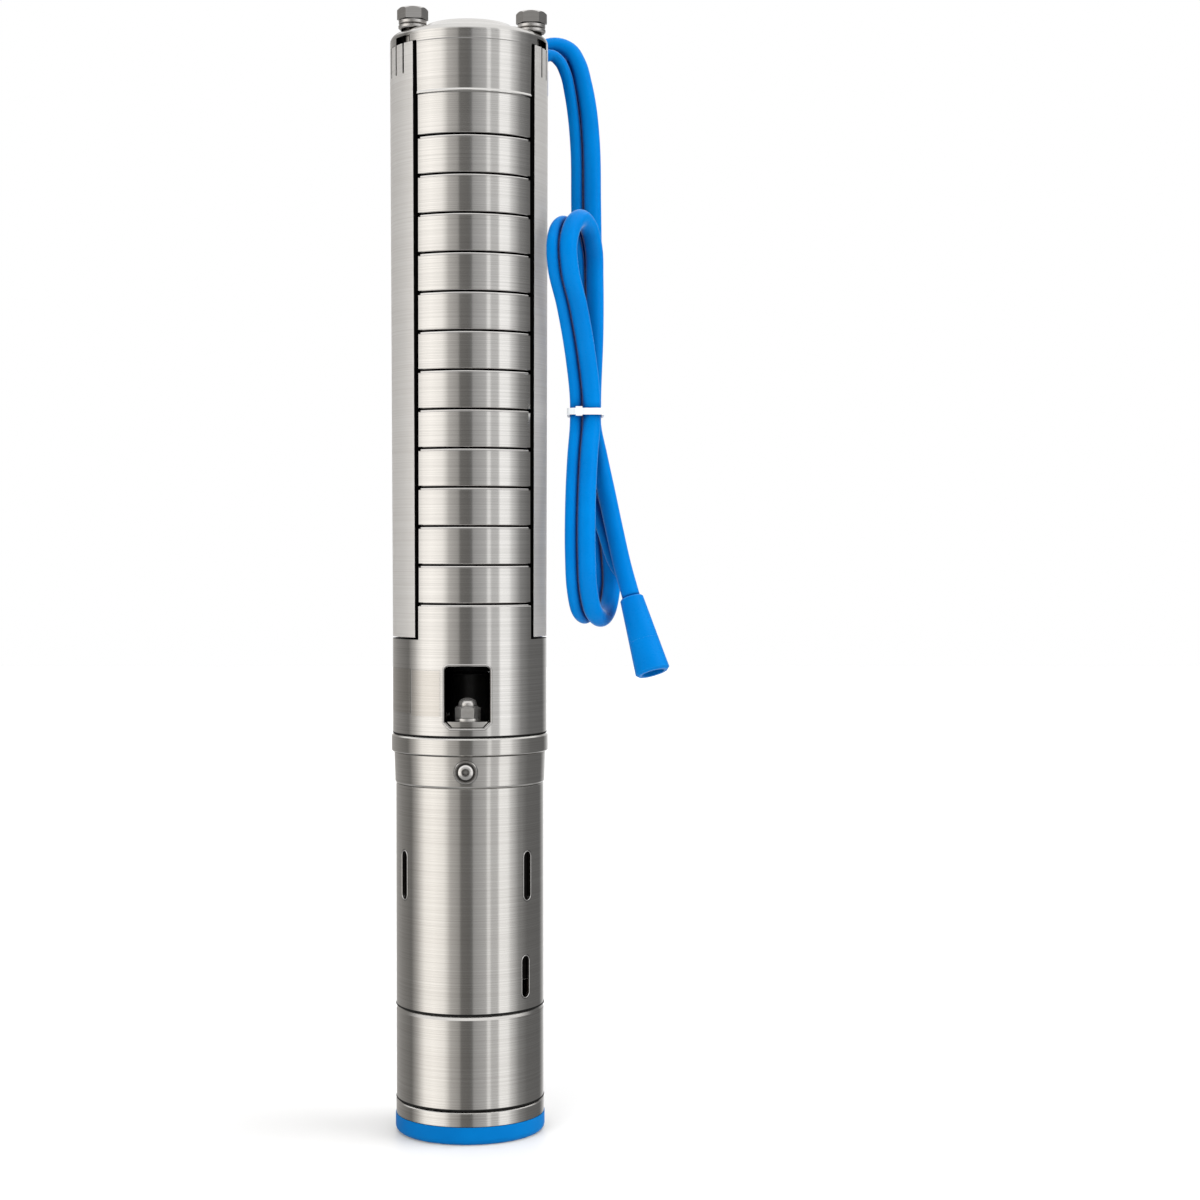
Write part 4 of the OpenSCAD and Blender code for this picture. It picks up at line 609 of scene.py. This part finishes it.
# Check valve and stages
# Pressed stainless impellers on a hexagonal shaft, with rubber bearings and plastic wear rings in the chambers, and
# above them the last diffuser and a valve that lifts in its cage.
dress(["impellers", "outlet_diffuser", "valve_seat", "valve_cage", "valve_cup"], brushed_steel(
    "pressed_stainless", "#a8a5a1", "#bab7b3", roughness=0.32, spread=0.3))  # grey with blurred highlights
dress(["motor_shaft", "thrust_disc"], bright_steel)
dress(["bearing_sleeves", "pump_shaft"], brushed_steel(  # painted dark and dull as shade, as steel is deep in a casing
    "shaded_stainless_shaft", "#4a4846", "#5c5a58", roughness=0.5, spread=0.0))
dress(["stage_bearings", "shaft_seal", "sand_slinger", "diaphragm"], moulded(  # nearly black with a soft sheen
    "moulded_nitrile_rubber", "#0c0c0c", "#161615", roughness=0.6, grain=0.0006, gloss=0.4, highlight_tone="#252524"))
dress(["neck_rings"], moulded(  # a very dark grey, satin
    "moulded_wear_plastic", "#1c1c1b", "#2a2928", roughness=0.5, grain=0.0006, gloss=0.4, highlight_tone="#3a3938"))

# Valve spring
# Bright stainless wire, wound in four turns between the valve cup and the cage's guide, and pressed together as the
# cup lifts. It is a circle in an upright plane through the axis, carried round it while it climbs evenly.
SPRING_R = 0.008
WIRE_R = 0.0007
SPRING_TURNS = 4
TURN_STEPS = 40
WIRE_SIDES = 12
spring_low, spring_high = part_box("valve_spring")[0][2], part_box("valve_spring")[1][2]
coil_turn = np.linspace(0, 2 * math.pi * SPRING_TURNS, SPRING_TURNS * TURN_STEPS + 1)[:, None]
wire_turn = np.linspace(0, 2 * math.pi, WIRE_SIDES, endpoint=False)[None]
coil_r = SPRING_R + WIRE_R * np.cos(wire_turn)
coil_z = (spring_low + WIRE_R + (spring_high - spring_low - 2 * WIRE_R) * coil_turn / coil_turn[-1]
          + WIRE_R * np.sin(wire_turn))
coil_grid = np.stack([coil_r * np.cos(coil_turn), coil_r * np.sin(coil_turn), coil_z], axis=-1)
coil = make_piece("valve_coil", coil_grid, bright_steel)
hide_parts("valve_spring")
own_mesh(coil)

# Rotor, stator and coupling
# Blued laminations, plated magnets glued around the core, windings cast into dark resin, pressed carbon bushes, and
# a sleeve coupling that joins the two shafts, painted nearly black as shade.
dress(["stator_core", "rotor_core"], brushed_steel(  # nearly black, dull
    "blued_laminations", "#161514", "#211f1e", roughness=0.5, spread=0.0))
dress(["rotor_magnets"], brushed_steel(  # mid grey with soft highlights
    "nickel_plated_magnet", "#6e6c69", "#8c8a86", roughness=0.3, spread=0.0))
dress(["stator_windings"], moulded(  # a dark warm brown with a resin's gloss
    "resin_cast_winding", "#171311", "#241c17", roughness=0.4, grain=0.0007, gloss=0.4, highlight_tone="#33271f"))
dress(["motor_bushes", "thrust_carrier"], moulded(  # very dark grey, satin
    "pressed_carbon", "#1a1a1b", "#262627", roughness=0.45, grain=0.0005, gloss=0.4, highlight_tone="#3a3a3b"))
dress(["coupling"], moulded(  # painted nearly black and dull as shade, with greyer edges painted as a highlight
    "shaded_steel_coupling", "#121110", "#1c1b1a", roughness=0.5, grain=0.0007, gloss=0.5, highlight_tone="#3b3937"))

# Floor
# Plain pale studio floor with an even coat of paint, which takes the pump's soft shadow. It is left out of the
# steel's reflections.
FLOOR_HALF = 6
FLOOR_CLOUDS_PER_METRE = 6
FLOOR_ROUGHNESS = 0.4
floor_mesh = bpy.data.meshes.new("floor")
floor_mesh.from_pydata([(-FLOOR_HALF, -FLOOR_HALF, 0), (FLOOR_HALF, -FLOOR_HALF, 0),
                        (FLOOR_HALF, FLOOR_HALF, 0), (-FLOOR_HALF, FLOOR_HALF, 0)], [], [(0, 1, 2, 3)])
floor = bpy.data.objects.new("floor", floor_mesh)
bpy.context.scene.collection.objects.link(floor)
floor_paint, floor_tree, floor_shader, floor_place = new_material("matt_white_floor")
floor_cloud = add(floor_tree, "ShaderNodeTexNoise", {
    "Vector": floor_place, "Scale": FLOOR_CLOUDS_PER_METRE, "Detail": 2})
# Two whites that hardly differ, in clouds that only keep the floor from looking flat.
floor_tone = add(floor_tree, "ShaderNodeValToRGB", {"Fac": floor_cloud.outputs["Fac"]},
                 stops=((0, linear("#f3f3f3")), (1, linear("#f7f7f7"))))
feed(floor_tree, floor_shader, {"Base Color": floor_tone.outputs["Color"], "Roughness": FLOOR_ROUGHNESS})
floor_mesh.materials.append(floor_paint)
floor.visible_glossy = False

# Studio light
# Tall soft boxes and dark flags stand around the pump under a white ceiling, so that upright bands run down the
# steel. What the camera sees of the room is plain white.
WARM = (1.0, 0.975, 0.94)
CAMERA_SIDE = 3.2
CEILING_FROM = (0.38, 0.56)
CEILING_LEVEL = 1.15
GROUND_FROM = (-0.38, -0.56)
GROUND_LEVEL = 0.42
DIFFUSE_SHARE = 0.17
# Each row gives where a box or flag begins and ends, in degrees from the camera's side towards the right, and its
# brightness at both ends.
SOFT_BOXES = [
    (-180, -162, 0.9, 0.42),   # left back wall
    (-146, -104, 0.36, 0.2),   # left flag
    (-90, -75, 0.6, 1.32),     # left soft box, outer part
    (-60, -42, 1.45, 1.25),    # left soft box, inner part
    (-37, -31, 1.0, 0.62),     # its soft edge
    (-17, -14, 0.42, 0.2),     # edge of the flag around the camera
    (-2, 3, 0.17, 0.2),        # flag around the camera
    (5, 25, 0.42, 0.6),        # right grey panel
    (27, 31, 1.05, 1.05),      # narrow strip light
    (32, 44, 0.69, 0.71),      # right grey panel, outer part
    (46, 61, 1.3, 1.22),       # right soft box
    (66, 82, 0.85, 0.32),      # its soft edge
    (100, 140, 0.18, 0.16),    # right flag
    (158, 172, 0.6, 0.9)]      # right back wall
world = bpy.data.worlds.new("studio")
bpy.context.scene.world = world
world.use_nodes = True
sky = world.node_tree
sky.nodes.clear()
way = add(sky, "ShaderNodeTexCoord", {}).outputs["Generated"]
turned = add(sky, "ShaderNodeMapping", {"Vector": way, "Rotation": (0, 0, math.radians(90 - CAMERA_SIDE))})
around = add(sky, "ShaderNodeTexGradient", {"Vector": turned.outputs["Vector"]}, gradient_type="RADIAL")
box_ends = [end for left, right, first, last in SOFT_BOXES for end in ((left, first), (right, last))]
boxes = add(sky, "ShaderNodeValToRGB", {"Fac": around.outputs["Fac"]}, stops=[
    ((side + 180) / 360, (*(level * np.array(WARM if side < 0 else (1, 1, 1))), 1)) for side, level in box_ends])
height = add(sky, "ShaderNodeSeparateXYZ", {"Vector": way}).outputs["Z"]
above = add(sky, "ShaderNodeMapRange", {
    "Value": height, "From Min": CEILING_FROM[0], "From Max": CEILING_FROM[1], "To Min": 0, "To Max": 1})
below = add(sky, "ShaderNodeMapRange", {
    "Value": height, "From Min": GROUND_FROM[0], "From Max": GROUND_FROM[1], "To Min": 0, "To Max": 1})
roofed = add(sky, "ShaderNodeMix", {
    0: above.outputs["Result"], 6: boxes.outputs["Color"], 7: (*[CEILING_LEVEL] * 3, 1)}, data_type="RGBA")
room = add(sky, "ShaderNodeMix", {
    0: below.outputs["Result"], 6: roofed.outputs[2], 7: (*[GROUND_LEVEL] * 3, 1)}, data_type="RGBA")
seen = add(sky, "ShaderNodeLightPath", {})
dim = add(sky, "ShaderNodeMapRange", {
    "Value": seen.outputs["Is Diffuse Ray"], "From Min": 0, "From Max": 1,
    "To Min": 1, "To Max": DIFFUSE_SHARE})
lit = add(sky, "ShaderNodeBackground", {"Color": room.outputs[2], "Strength": dim.outputs["Result"]})
white = add(sky, "ShaderNodeBackground", {"Color": (1, 1, 1, 1), "Strength": 1.0})
both = add(sky, "ShaderNodeMixShader", {
    0: seen.outputs["Is Camera Ray"], 1: lit.outputs["Background"], 2: white.outputs["Background"]})
add(sky, "ShaderNodeOutputWorld", {"Surface": both.outputs["Shader"]})
# Each lamp has the side it shines from, its spread in degrees and its power. The steel mirrors only the boxes.
LAMPS = [("ceiling_light", (0, 0, 1), 80, 2.0), ("side_light", (1.0, -0.12, 0.5), 60, 2.3),
         ("front_light", (-0.5, -1.0, 0.45), 40, 1.6)]
for lamp_name, side, spread, power in LAMPS:
    light = bpy.data.lights.new(lamp_name, "SUN")
    light.energy = power
    light.angle = math.radians(spread)
    lamp = bpy.data.objects.new(lamp_name, light)
    lamp.location = side
    lamp.rotation_euler = lamp.location.to_track_quat("Z", "Y").to_euler()
    lamp.visible_glossy = False
    bpy.context.scene.collection.objects.link(lamp)
# The blue pieces stay out of the steel's reflections, and the cap throws no blue light.
for blue in (power_cable, thin_cable, web, nodes["cable_connector"]):
    blue.visible_glossy = False
nodes["base_cap"].visible_diffuse = False
bpy.context.scene.view_settings.view_transform = "Standard"
